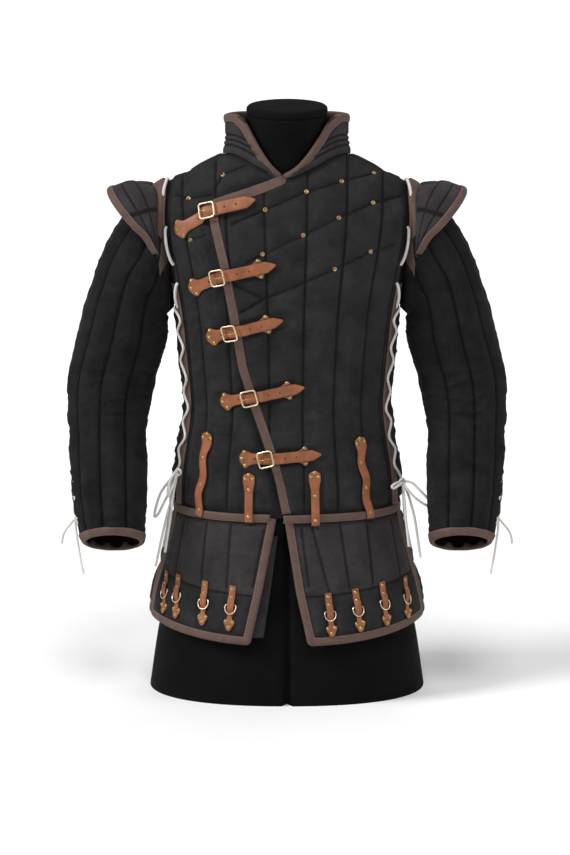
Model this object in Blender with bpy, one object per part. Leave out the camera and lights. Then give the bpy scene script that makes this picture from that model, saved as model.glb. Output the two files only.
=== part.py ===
"""Quilted gambeson worn on a limbless dress form.

Metres, +Z up, the wearer faces -Y and the wearer's left is +X.  The origin is on the floor, under the
middle of the form.  The torso cloth follows one surface: a site on it is an angle round the body (0 at the
middle of the front, 90 at the wearer's left side, 180 at the back) and a height that runs on over the
shoulder ridge.  Every panel, binding and strap is made from sites on that surface, moved out.
"""
from collections import namedtuple
from math import acos, asin, cos, degrees, hypot, pi, radians, sin

import bmesh
import bpy
from mathutils import Vector

Ring = namedtuple("Ring", "height half_width front back")
BODY = (
    Ring(0.050, 0.240, 0.190, 0.178),
    Ring(0.120, 0.235, 0.176, 0.166),
    Ring(0.185, 0.223, 0.158, 0.148),
    Ring(0.230, 0.210, 0.145, 0.135),
    Ring(0.300, 0.192, 0.130, 0.120),
    Ring(0.373, 0.188, 0.126, 0.114),
    Ring(0.414, 0.182, 0.122, 0.108),
    Ring(0.456, 0.175, 0.118, 0.103),
    Ring(0.498, 0.171, 0.115, 0.102),
    Ring(0.540, 0.174, 0.116, 0.105),
    Ring(0.600, 0.180, 0.120, 0.112),
    Ring(0.660, 0.187, 0.126, 0.120),
    Ring(0.720, 0.199, 0.129, 0.124),
    Ring(0.780, 0.213, 0.127, 0.124),
    Ring(0.840, 0.222, 0.122, 0.120),
    Ring(0.960, 0.222, 0.118, 0.115),
)
FORM = (
    Ring(0.000, 0.235, 0.163, 0.160),
    Ring(0.100, 0.220, 0.155, 0.150),
    Ring(0.200, 0.198, 0.134, 0.126),
    Ring(0.280, 0.181, 0.118, 0.108),
    Ring(0.340, 0.178, 0.115, 0.104),
)
SQUARENESS = 2.3
ARCH_START = 0.700
ARCH_RUN = 0.250
SHOULDER = ARCH_START + ARCH_RUN
NECK_HALF = 0.0985
NECK_SIDE = 0.9195
NECK_CROWN = 0.945
SHOULDER_TIP = Vector((0.2125, 0.0, 0.865))

WALL = 0.006
SKIRT_WALL = 0.004
CREST = 0.003
SEAM = 0.0003
FACE = 0.008
BINDING = 0.0018
BINDING_WIDTH = 0.0135
LEATHER = 0.0022
WAIST = 0.318
CHEST = 0.660

Spot = namedtuple("Spot", "x z")
CLOSING_EDGE = (
    Spot(-0.005, 0.310), Spot(-0.0185, 0.386), Spot(-0.0386, 0.446), Spot(-0.0586, 0.503),
    Spot(-0.0803, 0.573), Spot(-0.0967, 0.671), Spot(-0.1115, 0.747), Spot(-0.1291, 0.815),
    Spot(-0.130, 0.8436),
)
V_POINT = Spot(-0.0067, 0.888)
LAP_RISE = 0.0082
LAP_FADE = 0.070

BLACK = (0.012, 0.012, 0.013)
GREY = (0.070, 0.062, 0.066)
BROWN = (0.110, 0.068, 0.056)
TAN = (0.340, 0.120, 0.040)
GOLD = (0.760, 0.600, 0.360)
WHITE = (0.800, 0.780, 0.740)
Look = namedtuple("Look", "name colour roughness metallic")
LOOKS = {look.name: look for look in (
    Look("twill", BLACK, 0.9, 0.0), Look("canvas", GREY, 0.9, 0.0), Look("trim", BROWN, 0.6, 0.0),
    Look("strap_leather", TAN, 0.55, 0.0), Look("pale_brass", GOLD, 0.3, 1.0),
    Look("lace", WHITE, 0.85, 0.0), Look("form_cover", BLACK, 0.95, 0.0),
)}


def smooth_value(rows, name, at):
    """Value of a named column at a place in the first column, on a smooth curve through the rows."""
    heights = [row[0] for row in rows]
    values = [getattr(row, name) for row in rows]
    if at <= heights[0]:
        return values[0]
    if at >= heights[-1]:
        return values[-1]
    k = max(i for i in range(len(rows) - 1) if heights[i] <= at)

    def slope(i):
        low, high = max(i - 1, 0), min(i + 1, len(rows) - 1)
        return (values[high] - values[low]) / (heights[high] - heights[low])

    step = heights[k + 1] - heights[k]
    t = (at - heights[k]) / step
    return ((2 * t**3 - 3 * t**2 + 1) * values[k] + (t**3 - 2 * t**2 + t) * step * slope(k)
            + (3 * t**2 - 2 * t**3) * values[k + 1] + (t**3 - t**2) * step * slope(k + 1))


def along(table, at):
    """Straight-line value from a table of pairs, held at its ends."""
    if at <= table[0][0]:
        return table[0][1]
    for (a, va), (b, vb) in zip(table, table[1:]):
        if at <= b:
            return va + (vb - va) * (at - a) / (b - a)
    return table[-1][1]


def ease(t):
    t = min(max(t, 0.0), 1.0)
    return t * t * (3 - 2 * t)


def blend(a, b, t):
    return a + (b - a) * t


def signed_power(value, power):
    return abs(value) ** power * (1 if value >= 0 else -1)


def ridge(x):
    """Height of the shoulder line at a distance from the middle."""
    x = abs(x)
    if x < NECK_HALF:
        return NECK_SIDE + (NECK_CROWN - NECK_SIDE) * (1 - (x / NECK_HALF) ** 2)
    fall = (SHOULDER_TIP.z - NECK_SIDE) / (SHOULDER_TIP.x - NECK_HALF)
    return NECK_SIDE + fall * (x - NECK_HALF)


def base(angle, level, rows=BODY):
    """Point on the torso surface."""
    turn, theta = radians(angle), max(0.0, (level - ARCH_START) / ARCH_RUN) * pi / 2
    side, ahead = signed_power(sin(turn), 2 / SQUARENESS), signed_power(cos(turn), 2 / SQUARENESS)
    x, z = 0.2 * side, level
    for _ in range(4):
        if theta > 0:
            z = ARCH_START + (ridge(x) - ARCH_START) * sin(theta)
        x = smooth_value(rows, "half_width", z) * side
    depth = smooth_value(rows, "front" if ahead > 0 else "back", z)
    return Vector((x, -depth * ahead * cos(theta), z))


def torso(angle, level, out=0.0, rows=BODY):
    """Point at a distance out from the torso surface."""
    across = base(angle + 1, level, rows) - base(angle - 1, level, rows)
    up = base(angle, level + 0.003, rows) - base(angle, level - 0.003, rows)
    return base(angle, level, rows) + across.cross(up).normalized() * out


def site(x, z):
    """Angle and level of a place on the front, from its distance right and its height."""
    half = smooth_value(BODY, "half_width", z) + FACE
    angle = degrees(asin(min(abs(x) / half, 1) ** (SQUARENESS / 2))) * (1 if x >= 0 else -1)
    if z <= ARCH_START:
        return angle, z
    rise = min((z - ARCH_START) / (ridge(x) - ARCH_START), 1)
    return angle, ARCH_START + ARCH_RUN * asin(rise) / (pi / 2)


def edge_distance(x, z):
    """Distance in the front view to the over-front's closing edge and its edge at the neck."""
    line = CLOSING_EDGE + (V_POINT,)
    nearest = 1.0
    for a, b in zip(line, line[1:]):
        dx, dz = b.x - a.x, b.z - a.z
        t = min(max(((x - a.x) * dx + (z - a.z) * dz) / (dx * dx + dz * dz), 0), 1)
        nearest = min(nearest, hypot(x - a.x - t * dx, z - a.z - t * dz))
    return nearest


def lap(angle, level):
    """How far the over-front rises to pass over the under-front."""
    spot = base(angle, level)
    return LAP_RISE * (1 - ease(edge_distance(spot.x, spot.z) / LAP_FADE))


def edge_x(z):
    return along([(spot.z, spot.x) for spot in CLOSING_EDGE], z)


def material(look):
    mat = bpy.data.materials.get(look.name) or bpy.data.materials.new(look.name)
    mat.use_nodes = True
    shader = mat.node_tree.nodes["Principled BSDF"]
    shader.inputs["Base Color"].default_value = (*look.colour, 1)
    shader.inputs["Roughness"].default_value = look.roughness
    shader.inputs["Metallic"].default_value = look.metallic
    return mat


def add_object(name, data, look):
    obj = bpy.data.objects.new(name, data)
    data.materials.append(material(LOOKS[look]))
    bpy.context.scene.collection.objects.link(obj)
    return obj


def solid(name, points, faces, look, merge=0.0):
    """One closed body from points and faces, its faces turned out."""
    bm = bmesh.new()
    verts = [bm.verts.new(p) for p in points]
    for face in faces:
        bm.faces.new([verts[i] for i in face])
    if merge:
        bmesh.ops.remove_doubles(bm, verts=bm.verts, dist=merge)
    bmesh.ops.triangulate(bm, faces=bm.faces[:], quad_method="FIXED")
    bmesh.ops.recalc_face_normals(bm, faces=bm.faces[:])
    mesh = bpy.data.meshes.new(name)
    bm.to_mesh(mesh)
    bm.free()
    mesh.shade_smooth()
    return add_object(name, mesh, look)


def wall(name, outer, inner, look, ring=False):
    """A wall between two grids of points; a ring closes on itself along its rows."""
    rows, cols = len(outer), len(outer[0])
    flat = [p for row in outer for p in row] + [p for row in inner for p in row]
    back = rows * cols
    faces = []
    for i in range(rows - 1):
        for j in range(cols if ring else cols - 1):
            a, b = i * cols + j, i * cols + (j + 1) % cols
            c, d = b + cols, a + cols
            faces += [(a, b, c, d), (back + d, back + c, back + b, back + a)]
    for j in range(cols if ring else cols - 1):
        k = (j + 1) % cols
        last = (rows - 1) * cols
        faces += [(k, j, back + j, back + k), (last + j, last + k, back + last + k, back + last + j)]
    if not ring:
        for i in range(rows - 1):
            a, d = i * cols, (i + 1) * cols
            b, c = a + cols - 1, d + cols - 1
            faces += [(a, d, back + d, back + a), (c, b, back + b, back + c)]
    return solid(name, flat, faces, look)


def patch(name, sites, low, high, look, ring=False):
    """A wall over sites on the torso, from one height above it to another."""
    def level(value, i, j):
        return value(i, j) if callable(value) else value

    grids = [[[torso(*place, level(value, i, j)) for j, place in enumerate(row)]
              for i, row in enumerate(sites)] for value in (high, low)]
    return wall(name, *grids, look, ring)


def join(name, pieces):
    """Boolean union of pieces that overlap, under the first one's object."""
    first = pieces[0]
    for other in pieces[1:]:
        tool = first.modifiers.new("join", "BOOLEAN")
        tool.operation, tool.solver, tool.object = "UNION", "EXACT", other
        other.hide_render, other.display_type = True, "WIRE"
    first.name = name
    return first


# Torso panels

ARM_STEPS = 10
ARM_FALL = 20.0
ARM_BULGE = 13.0
BODY_LEVELS = (WAIST, 0.350, 0.400, 0.450, 0.500, 0.555, 0.610)
FRONT_SAG = 0.030
SIDE_GAP = 0.05
SHOULDER_GAP = 0.0006
BACK_NECK = 0.871
FRONT_NECK = 0.8405


def arm_share(i):
    """Share of the armhole's height at a step round it."""
    return (1 - cos(pi * i / ARM_STEPS)) / 2


def arm_angle(share):
    """Angle of the armhole's front edge at a share of its height."""
    return 90 - SIDE_GAP - ARM_FALL * share - ARM_BULGE * (1 - (2 * share - 1) ** 2) ** 0.5


def neck_level(x, low):
    """Level of the neckline, from its lowest point up to the shoulder ridge."""
    share = min(abs(x) / NECK_HALF, 1)
    return low + (SHOULDER - SHOULDER_GAP - low) * (0.35 * share + 0.65 * share ** 2.4)


def nape_level(x):
    """Level of the neckline behind the shoulder ridge, rounder than the front's."""
    share = min(abs(x) / NECK_HALF, 1)
    deep = cos((BACK_NECK - ARCH_START) / ARCH_RUN * pi / 2)
    level = ARCH_START + ARCH_RUN * acos(deep * (1 - share * share) ** 0.5) / (pi / 2)
    return min(level, SHOULDER - SHOULDER_GAP)


def over_top(x):
    """Level of the over-front's top edge: the V, then the neckline, then the shoulder seam."""
    if x < V_POINT.x:
        corner = CLOSING_EDGE[-1]
        z = blend(corner.z, V_POINT.z, (x - corner.x) / (V_POINT.x - corner.x))
        return site(x, z)[1]
    return neck_level(x, site(V_POINT.x, V_POINT.z)[1])


def sagging(base_level, top_level, share, fall):
    """Level between two edges, with the quilting rows sagging towards the middle of the front."""
    return blend(base_level, top_level, share) - FRONT_SAG * 4 * share * (1 - share) * fall


OVER_COLUMNS = (-24.0, -8.5, -1.5, 5.5, 14.5, 24.3, 34.0, 44.0)
SIDE_SHARES = (0.24, 0.48, 0.74, 1.0)
COLUMN_GAP = 2.2


def over_row(row):
    """Sites of one row of the over-front, from its closing edge to its side or armhole."""
    below = row < len(BODY_LEVELS)
    share = 0.0 if below else arm_share(row - len(BODY_LEVELS))
    right = 90 - SIDE_GAP if below else arm_angle(share)
    start = along([(0, CHEST - 0.052), (1, CLOSING_EDGE[-1].z)], share) if not below else (
        blend(WAIST - 0.002, CHEST - 0.052, row / len(BODY_LEVELS)))
    left = site(edge_x(start), start)[0]
    angles = [left]
    for k, column in enumerate(OVER_COLUMNS):
        angles.append(max(column, left + (k + 1) * COLUMN_GAP))
    angles += [blend(angles[-1], right, s) for s in SIDE_SHARES]
    sites = []
    for angle in angles:
        fall = (right - angle) / (right - left)
        low_level = BODY_LEVELS[row] if below else CHEST
        tilt = 0.052 * fall * (row / len(BODY_LEVELS) if below else 1)
        if below:
            sites.append((angle, low_level - tilt))
        else:
            x = base(angle, 0.8).x
            sites.append((angle, sagging(CHEST - tilt, over_top(x), share, fall)))
    return sites


def quilted(sites, valleys, quiet=()):
    """Heights of a panel's outer points: rolled between the stitched lines, flat on them and at edges."""
    last = len(sites[0]) - 1

    def height(i, j):
        if j in valleys or j in (0, last) or i in (0, len(sites) - 1):
            return 0.0
        width = base(*sites[i][j + 1]) - base(*sites[i][j - 1])
        return CREST * min(1.0, width.length / 0.045) * (0.45 if i in quiet else 1.0)

    return height


ROWS = len(BODY_LEVELS) + ARM_STEPS + 1
DIAGONALS = (len(BODY_LEVELS) + 4, len(BODY_LEVELS) + 6, len(BODY_LEVELS) + 8)


def front_over():
    sites = [over_row(row) for row in range(ROWS)]
    rolls = quilted(sites, valleys=(2, 4, 6, 8, 10), quiet=DIAGONALS)
    return patch("front_over", sites, lambda i, j: lap(*sites[i][j]) - WALL,
                 lambda i, j: lap(*sites[i][j]) + rolls(i, j), "twill")


UNDER_COLUMNS = (-44.0, -34.0, -24.3, -14.5, -5.5)
UNDER_LAP = 0.012
UNDER_LIMIT = ((0.0, -0.076), (0.25, -0.093), (0.5, -0.112), (0.7, -0.075), (0.85, -0.045), (1.0, -0.0075))


def under_row(row):
    """Sites of one row of the under-front, from its side to its edge below the over-front."""
    below = row < len(BODY_LEVELS)
    share = 0.0 if below else arm_share(row - len(BODY_LEVELS))
    left = SIDE_GAP - 90 if below else -arm_angle(share)
    start = blend(WAIST, CHEST - 0.04, row / len(BODY_LEVELS))
    limit = edge_x(start) + UNDER_LAP if below else along(UNDER_LIMIT, share)
    right = site(limit, start if below else 0.8)[0]
    angles = [right]
    for k, column in enumerate(reversed(UNDER_COLUMNS)):
        angles.insert(0, min(column, right - (k + 1) * COLUMN_GAP))
    inner = angles[0]
    angles = [blend(left, inner, 1 - s) for s in reversed(SIDE_SHARES)] + angles
    sites = []
    for angle in angles:
        fall = (angle - left) / (right - left)
        if below:
            sites.append((angle, BODY_LEVELS[row] - 0.03 * fall * row / len(BODY_LEVELS)))
        else:
            x = base(angle, 0.8).x
            low_level = CHEST - 0.03 * fall
            sites.append((angle, sagging(low_level, neck_level(x, FRONT_NECK), share, 0.5 * fall)))
    return sites


def under_depth(angle, level):
    """How far the under-front's face sinks where the over-front covers it."""
    spot = base(angle, level)
    covered = spot.x > edge_x(spot.z) and spot.z < over_top_height(spot.x)
    return 0.0026 * ease(edge_distance(spot.x, spot.z) / (0.6 * UNDER_LAP)) if covered else 0.0


def over_top_height(x):
    corner = CLOSING_EDGE[-1]
    return blend(corner.z, V_POINT.z, (x - corner.x) / (V_POINT.x - corner.x))


def front_under():
    sites = [under_row(row) for row in range(ROWS)]
    rolls = quilted(sites, valleys=(2, 4, 6, 8), quiet=DIAGONALS)

    def face(i, j):
        spot = base(*sites[i][j])
        near = ease((edge_distance(spot.x, spot.z) - 0.012) / 0.02)
        sunk = under_depth(*sites[i][j])
        return rolls(i, j) * near * (0 if sunk else 1) - sunk

    return patch("front_under", sites, -WALL, face, "twill")


BACK_COLUMNS = 8


def back():
    """The back in one piece, with its neck edge scooped at the middle."""
    sites = []
    for row in range(ROWS):
        below = row < len(BODY_LEVELS)
        share = 0.0 if below else arm_share(row - len(BODY_LEVELS))
        edge = 90 + SIDE_GAP if below else 180 - arm_angle(share)
        angles = [blend(edge, 180, k / BACK_COLUMNS) for k in range(BACK_COLUMNS)]
        angles += [360 - angle for angle in [180] + angles[::-1]]
        line = []
        for angle in angles:
            x = base(angle, 0.8).x
            line.append((angle, BODY_LEVELS[row] if below else blend(CHEST, nape_level(x), share)))
        sites.append(line)
    valleys = tuple(range(0, 2 * BACK_COLUMNS + 1, 2))
    return patch("back", sites, -WALL, quilted(sites, valleys), "twill")


# Collar

COLLAR_ROWS = (0.0, 0.011, 0.022, 0.033, 0.045, 0.060)
COLLAR_COLUMNS = 25
COLLAR_WALL = 0.005
LIFT = CREST + 0.0013


def neck_site(turn, grow=0.0):
    """Site on the neckline at an angle round the neck; grow moves it away from the neck."""
    side, ahead = sin(radians(turn)), cos(radians(turn))
    x = NECK_HALF * side
    level = (neck_level(x, FRONT_NECK) if ahead > 0 else nape_level(x)) - grow * abs(ahead)
    angle = degrees(asin(((NECK_HALF + grow) * abs(side) / BODY[-1].half_width) ** (SQUARENESS / 2)))
    angle = angle if ahead > 0 else 180 - angle
    return (angle if side >= 0 else -angle), level


def collar_end(height):
    """Angle round the neck at which the collar's front edge stands, at a height."""
    return 5 + 42 * (height / COLLAR_ROWS[-1]) ** 0.95


def collar_grids():
    outer, inner = [], []
    for i, height in enumerate(COLLAR_ROWS):
        first = collar_end(height)
        out_row, in_row = [], []
        for j in range(COLLAR_COLUMNS + 1):
            turn = blend(first, 360 - first, j / COLLAR_COLUMNS)
            near, far = neck_site(turn), neck_site(turn, COLLAR_WALL)
            rise = LIFT + (lap(*near) if turn < 180 else 0)
            p_in, p_out = torso(*near, rise), torso(*far, rise)
            if i:
                roll = 0.002 if i in (1, 3) and 3 < j < COLLAR_COLUMNS - 3 else 0
                away = Vector((p_out.x - p_in.x, p_out.y - p_in.y, 0)).normalized()
                p_out = Vector((p_out.x, p_out.y, p_in.z + height)) + away * roll
                p_in = p_in + Vector((0, 0, height))
            out_row.append(p_out)
            in_row.append(p_in)
        outer.append(out_row)
        inner.append(in_row)
    return outer, inner


def collar():
    outer, inner = collar_grids()
    return wall("collar", outer, inner, "canvas")


def sweep(name, rings, look, closed=False, ends=None):
    """A body through rings of points, capped at its ends unless it closes on itself."""
    size = len(rings[0])
    points = [p for ring in rings for p in ring]
    faces = []
    for i in range(len(rings) if closed else len(rings) - 1):
        a, b = i * size, (i + 1) % len(rings) * size
        faces += [(a + k, a + (k + 1) % size, b + (k + 1) % size, b + k) for k in range(size)]
    if not closed:
        last = (len(rings) - 1) * size
        for end in ends or [tuple(range(size))]:
            faces += [end[::-1], tuple(last + k for k in end)]
    return solid(name, points, faces, look)


def step_in(grid, i, j, ways, width):
    """Point on a grid's own facets at a distance in from an edge point, along one or two of its lines."""
    start = grid[i][j]
    return start + sum(((grid[i + di][j + dj] - start).normalized() * width for di, dj in ways), Vector())


def channel(name, outer, inner, path, look, width, play, closed=False):
    """A folded binding over an edge: path holds each edge point's row, column and ways into the cloth."""
    rings = []
    for i, j, ways in path:
        p_out, p_in = outer[i][j], inner[i][j]
        d_out, d_in = (step_in(grid, i, j, ways, width) for grid in (outer, inner))
        into = (d_out - p_out + d_in - p_in).normalized()
        edge, deep = (p_out - p_in).normalized(), (d_out - d_in).normalized()
        near, far = play, play + BINDING
        lip = into * (play + BINDING)
        rings.append([d_out + deep * near, d_out + deep * far, p_out + edge * far - lip,
                      p_in - edge * far - lip, d_in - deep * far, d_in - deep * near,
                      p_in - edge * near - into * play, p_out + edge * near - into * play])
    return sweep(name, rings, look, closed, ends=((0, 1, 2, 7), (7, 2, 3, 6), (6, 3, 4, 5)))


def collar_binding():
    """Runs up one front edge, round the top and down the other."""
    outer, inner = collar_grids()
    top, last = len(outer) - 1, COLLAR_COLUMNS
    path = [(i, 0, [(0, 1)]) for i in range(1, top)] + [(top, 0, [(0, 1), (-1, 0)])]
    path += [(top, j, [(-1, 0)]) for j in range(1, last)] + [(top, last, [(0, -1), (-1, 0)])]
    path += [(i, last, [(0, -1)]) for i in reversed(range(1, top))]
    return channel("collar_binding", outer, inner, path, "trim", 0.009, 0.0019)


# Strips on the front: bindings, straps and tabs

def spot_line(spots, step):
    """Spots along a polyline, its own corners among them, no further apart than a step."""
    line = []
    for a, b in zip(spots, spots[1:]):
        parts = max(1, round(hypot(b.x - a.x, b.z - a.z) / step))
        line += [Spot(blend(a.x, b.x, k / parts), blend(a.z, b.z, k / parts)) for k in range(parts)]
    return line + [spots[-1]]


def beside(line, distance):
    """The same line moved to its left, seen from the front."""
    moved = []
    for k, spot in enumerate(line):
        a, b = line[max(k - 1, 0)], line[min(k + 1, len(line) - 1)]
        length = hypot(b.x - a.x, b.z - a.z)
        moved.append(Spot(spot.x - (b.z - a.z) / length * distance, spot.z + (b.x - a.x) / length * distance))
    return moved


STRIP_STEP = 0.018
WAIST_LOW = 0.0016


def closing_binding():
    """Bound edge of the over-front from the V down to the waist, and on along the waist seam to the side."""
    spots = (V_POINT,) + CLOSING_EDGE[::-1][:-1] + (Spot(-0.0060, 0.3265),)
    line = spot_line(spots, STRIP_STEP)
    sites = [[site(*edge), site(*into)] for edge, into in zip(line, beside(line, BINDING_WIDTH))]
    lows = [CREST + 3 * SEAM] * len(sites)
    corner = site(0.0085, WAIST)[0]
    sites.append([(site(-0.0060, WAIST)[0], WAIST - 0.007), (corner, WAIST + 0.0065)])
    steps = 16
    for k in range(1, steps + 1):
        angle = blend(corner, 90 - SIDE_GAP, k / steps)
        sites.append([(angle, WAIST - 0.007), (angle, WAIST + 0.0065)])
    lows += [WAIST_LOW] * (steps + 1)
    return patch("closing_binding", sites, lambda i, j: lap(*sites[i][j]) + lows[i],
                 lambda i, j: lap(*sites[i][j]) + lows[i] + BINDING, "trim")


def waist_binding(name, start, end):
    """Band over the waist seam, between two angles."""
    steps = round(abs(end - start) / 6)
    sites = [[(blend(start, end, k / steps), level) for level in (WAIST + 0.0065, WAIST - 0.007)]
             for k in range(steps + 1)]
    return patch(name, sites, WAIST_LOW, WAIST_LOW + BINDING, "trim")


def cover(x, z):
    """Height at which leather lies on the front: above the quilting and the bindings below it."""
    place = site(x, z)
    over = x > edge_x(z) if z < CLOSING_EDGE[-1].z else True
    height = CREST + 4 * SEAM
    if over:
        height += lap(*place)
        if edge_distance(x, z) < BINDING_WIDTH + 0.003:
            height += BINDING + 3 * SEAM
    if abs(z - WAIST) < 0.011:
        height = max(height, WAIST_LOW + BINDING + SEAM + (lap(*place) if over else 0) + SEAM)
    return height


def facing(spot):
    """Share of a step across the cloth that shows as a step to the side in the front view."""
    place = site(*spot)
    normal = torso(*place, 0.01) - torso(*place)
    return abs(normal.y) / hypot(normal.x, normal.y)


def across_line(line, k, distance):
    """Spot at a distance over the cloth to the left of a line, seen from the front."""
    spot, moved = line[k], beside(line, distance)[k]
    return Spot(spot.x + (moved.x - spot.x) * facing(spot), moved.z)


def ribbon(name, line, halves, heights, thickness, look):
    """Leather strip along spots, with its half width and its height at each."""
    sites = [[site(*across_line(line, k, halves[k] * way)) for way in (1, -1)] for k in range(len(line))]
    return patch(name, sites, lambda i, j: heights[i], lambda i, j: heights[i] + thickness, look)


def envelope(values, reach):
    return [max(values[max(0, k - reach):k + reach + 1]) for k in range(len(values))]


Strap = namedtuple("Strap", "leaf_x leaf_z buckle_x buckle_z tip_x tip_z sink")
STRAPS = (
    Strap(-0.183, 0.800, -0.1323, 0.8285, -0.0516, 0.850, 0.0010),
    Strap(-0.168, 0.705, -0.1132, 0.728, -0.0183, 0.750, 0.0),
    Strap(-0.137, 0.622, -0.0934, 0.637, -0.0058, 0.658, 0.0),
    Strap(-0.1158, 0.511, -0.0633, 0.524, 0.0311, 0.542, 0.0),
    Strap(-0.0839, 0.4174, -0.0352, 0.4195, 0.0604, 0.4262, 0.0017),
)
STRAP_HALF = 0.009
LEAF_SHAPE = ((0.0, 0.0025), (0.006, 0.0075), (0.011, 0.0115), (0.017, 0.0110),
              (0.023, 0.0080), (0.030, 0.009))
TIP_SHAPE = ((0.0, 0.002), (0.006, 0.006), (0.012, 0.009))
STRAP_STEP = 0.0115
BUCKLE_HALF = 0.0135
BUCKLE_BAR = 0.0028


def strap_parts(strap):
    spots = (Spot(strap.leaf_x, strap.leaf_z), Spot(strap.buckle_x, strap.buckle_z),
             Spot(strap.tip_x, strap.tip_z))
    line = spot_line(spots, STRAP_STEP)
    gone = [0.0]
    for a, b in zip(line, line[1:]):
        gone.append(gone[-1] + hypot(b.x - a.x, b.z - a.z))
    halves = [min(STRAP_HALF if s > 0.03 else along(LEAF_SHAPE, s), along(TIP_SHAPE, gone[-1] - s)
                  if gone[-1] - s < 0.012 else 1) for s in gone]
    heights = []
    for k, spot in enumerate(line):
        height = max(cover(*beside(line, d)[k]) for d in (-STRAP_HALF, 0, STRAP_HALF)) - strap.sink
        on_chape = spot.x > strap.buckle_x + 0.022
        heights.append(height + (LEATHER + SEAM if on_chape else 0))
    return line, halves, envelope(heights, 2)


def strap(number, row):
    """Strap with a leaf end, and the leaf-ended chape below its tip, in one body."""
    name = f"strap_{number}"
    line, halves, heights = strap_parts(row)
    body = ribbon(name, line, halves, heights, LEATHER, "strap_leather")
    start = next(k for k, spot in enumerate(line) if spot.x > row.buckle_x + 0.022)
    stop = len(line) - 3
    chape = line[start:stop]
    shape = [0.009] * (len(chape) - 4) + [0.0085, 0.0125, 0.0115, 0.004]
    low = [max(cover(*beside(chape, d)[k]) for d in (-0.01, 0, 0.01)) for k in range(len(chape))]
    high = [heights[start + k] + 0.0004 for k in range(len(chape))]
    sites = [[site(*beside(chape, shape[k] * way)[k]) for way in (1, -1)] for k in range(len(chape))]
    under = patch("chape", sites, lambda i, j: low[i], lambda i, j: high[i], "strap_leather")
    return join(name, [body, under])


def buckle(number, row):
    """Rectangular frame that lies round the strap."""
    line, _, heights = strap_parts(row)
    middle = min(range(len(line)), key=lambda k: hypot(line[k].x - row.buckle_x, line[k].z - row.buckle_z))
    spread = range(middle - 2, middle + 3)
    before, centre, after = (torso(*site(*line[k]), heights[k]) for k in (middle - 2, middle, middle + 2))
    run = (after - before).normalized()
    out = (centre - torso(*site(*line[middle]))).normalized()
    across = out.cross(run).normalized()
    out = run.cross(across)
    tops = [torso(*site(*beside(line, d)[k]), heights[k] + LEATHER)
            for k in spread for d in (-STRAP_HALF, 0, STRAP_HALF)]
    centre += out * (max((top - centre).dot(out) for top in tops) + SEAM + BUCKLE_BAR / 2)
    rings = []
    for k in range(12):
        turn = radians(k * 30)
        corner = [signed_power(cos(turn), 0.45), signed_power(sin(turn), 0.45)]
        hub = centre + run * corner[0] * BUCKLE_HALF + across * corner[1] * BUCKLE_HALF
        away = (hub - centre).normalized()
        half = BUCKLE_BAR / 2
        corners = ((1, 1), (-1, 1), (-1, -1), (1, -1))
        rings.append([hub + away * half * a + out * half * b for a, b in corners])
    return sweep(f"buckle_{number}", rings, "pale_brass", closed=True)


Tab = namedtuple("Tab", "name top_x top_z low_x low_z wave")
TABS = (
    Tab("waist_tab_short_under", -0.0658, 0.3952, -0.0664, 0.3096, 0.0),
    Tab("waist_tab_short_over", 0.0475, 0.3996, 0.0494, 0.3047, 0.0),
    Tab("waist_tab_long_under", -0.1371, 0.4585, -0.1544, 0.3131, 0.0016),
    Tab("waist_tab_long_over", 0.1244, 0.4524, 0.1425, 0.3100, 0.0016),
)
TAB_HALF = 0.008
TAB_WAVE_LENGTH = 0.038


def waist_tab(row):
    line = spot_line((Spot(row.top_x, row.top_z), Spot(row.low_x, row.low_z)), STRAP_STEP)
    length = hypot(row.top_x - row.low_x, row.top_z - row.low_z)
    halves, heights = [], []
    for k, spot in enumerate(line):
        gone = length * k / (len(line) - 1)
        leaf = along(LEAF_SHAPE, gone) if gone < 0.03 else TAB_HALF
        point = along(TIP_SHAPE, length - gone) if length - gone < 0.012 else 1
        halves.append(min(leaf, point) + row.wave * sin(2 * pi * gone / TAB_WAVE_LENGTH) * (gone > 0.03))
        heights.append(max(cover(*beside(line, d)[k]) for d in (-0.009, 0, 0.009)))
    return ribbon(row.name, line, halves, envelope(heights, 1), LEATHER, "strap_leather")


# Skirt

SKIRT_TOP = WAIST - 0.0010
SKIRT_SHARES = (0.0, 0.14, 0.36, 0.58, 0.80, 1.0)
SKIRT_CREST = 0.0012
SLIT_FRONT = 80.0
SLIT_BACK = 83.0
OVER_SKIRT_EDGE = ((0.1087, 0.042), (0.2125, 0.0168), (0.3165, -0.0030))
UNDER_SKIRT_EDGE = ((0.1180, -0.0672), (0.2138, -0.0437), (0.3165, -0.0202))


def hem_level(angle):
    """Height of the hem, lowest near the front opening."""
    return 0.131 - 0.021 * max(0.0, cos(radians(angle))) ** 2


def skirt_sites(start_at, stop_at, columns):
    """Rows from the waist to the hem between two edges, each an angle at a height."""
    sites = []
    for share in SKIRT_SHARES:
        line = []
        for k in range(columns + 1):
            middle = blend(SKIRT_TOP, 0.125, share)
            angle = blend(start_at(middle), stop_at(middle), k / columns)
            line.append((angle, blend(SKIRT_TOP, hem_level(angle), share)))
        sites.append(line)
    return sites


def over_skirt_angle(z):
    return site(along(OVER_SKIRT_EDGE, z), z)[0]


def under_skirt_angle(z):
    return site(along(UNDER_SKIRT_EDGE, z), z)[0]


SKIRTS = {
    "skirt_front_over": skirt_sites(over_skirt_angle, lambda z: SLIT_FRONT, 14),
    "skirt_front_under": skirt_sites(lambda z: -SLIT_FRONT, under_skirt_angle, 12),
    "skirt_back": skirt_sites(lambda z: SLIT_BACK, lambda z: 360 - SLIT_BACK, 20),
}


def skirt(name):
    sites = SKIRTS[name]
    columns = len(sites[0]) - 1

    def face(i, j):
        return SKIRT_CREST if j % 2 and 1 < j < columns - 1 and 0 < i < len(sites) - 2 else 0.0

    return patch(name, sites, -SKIRT_WALL, face, "canvas")


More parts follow.
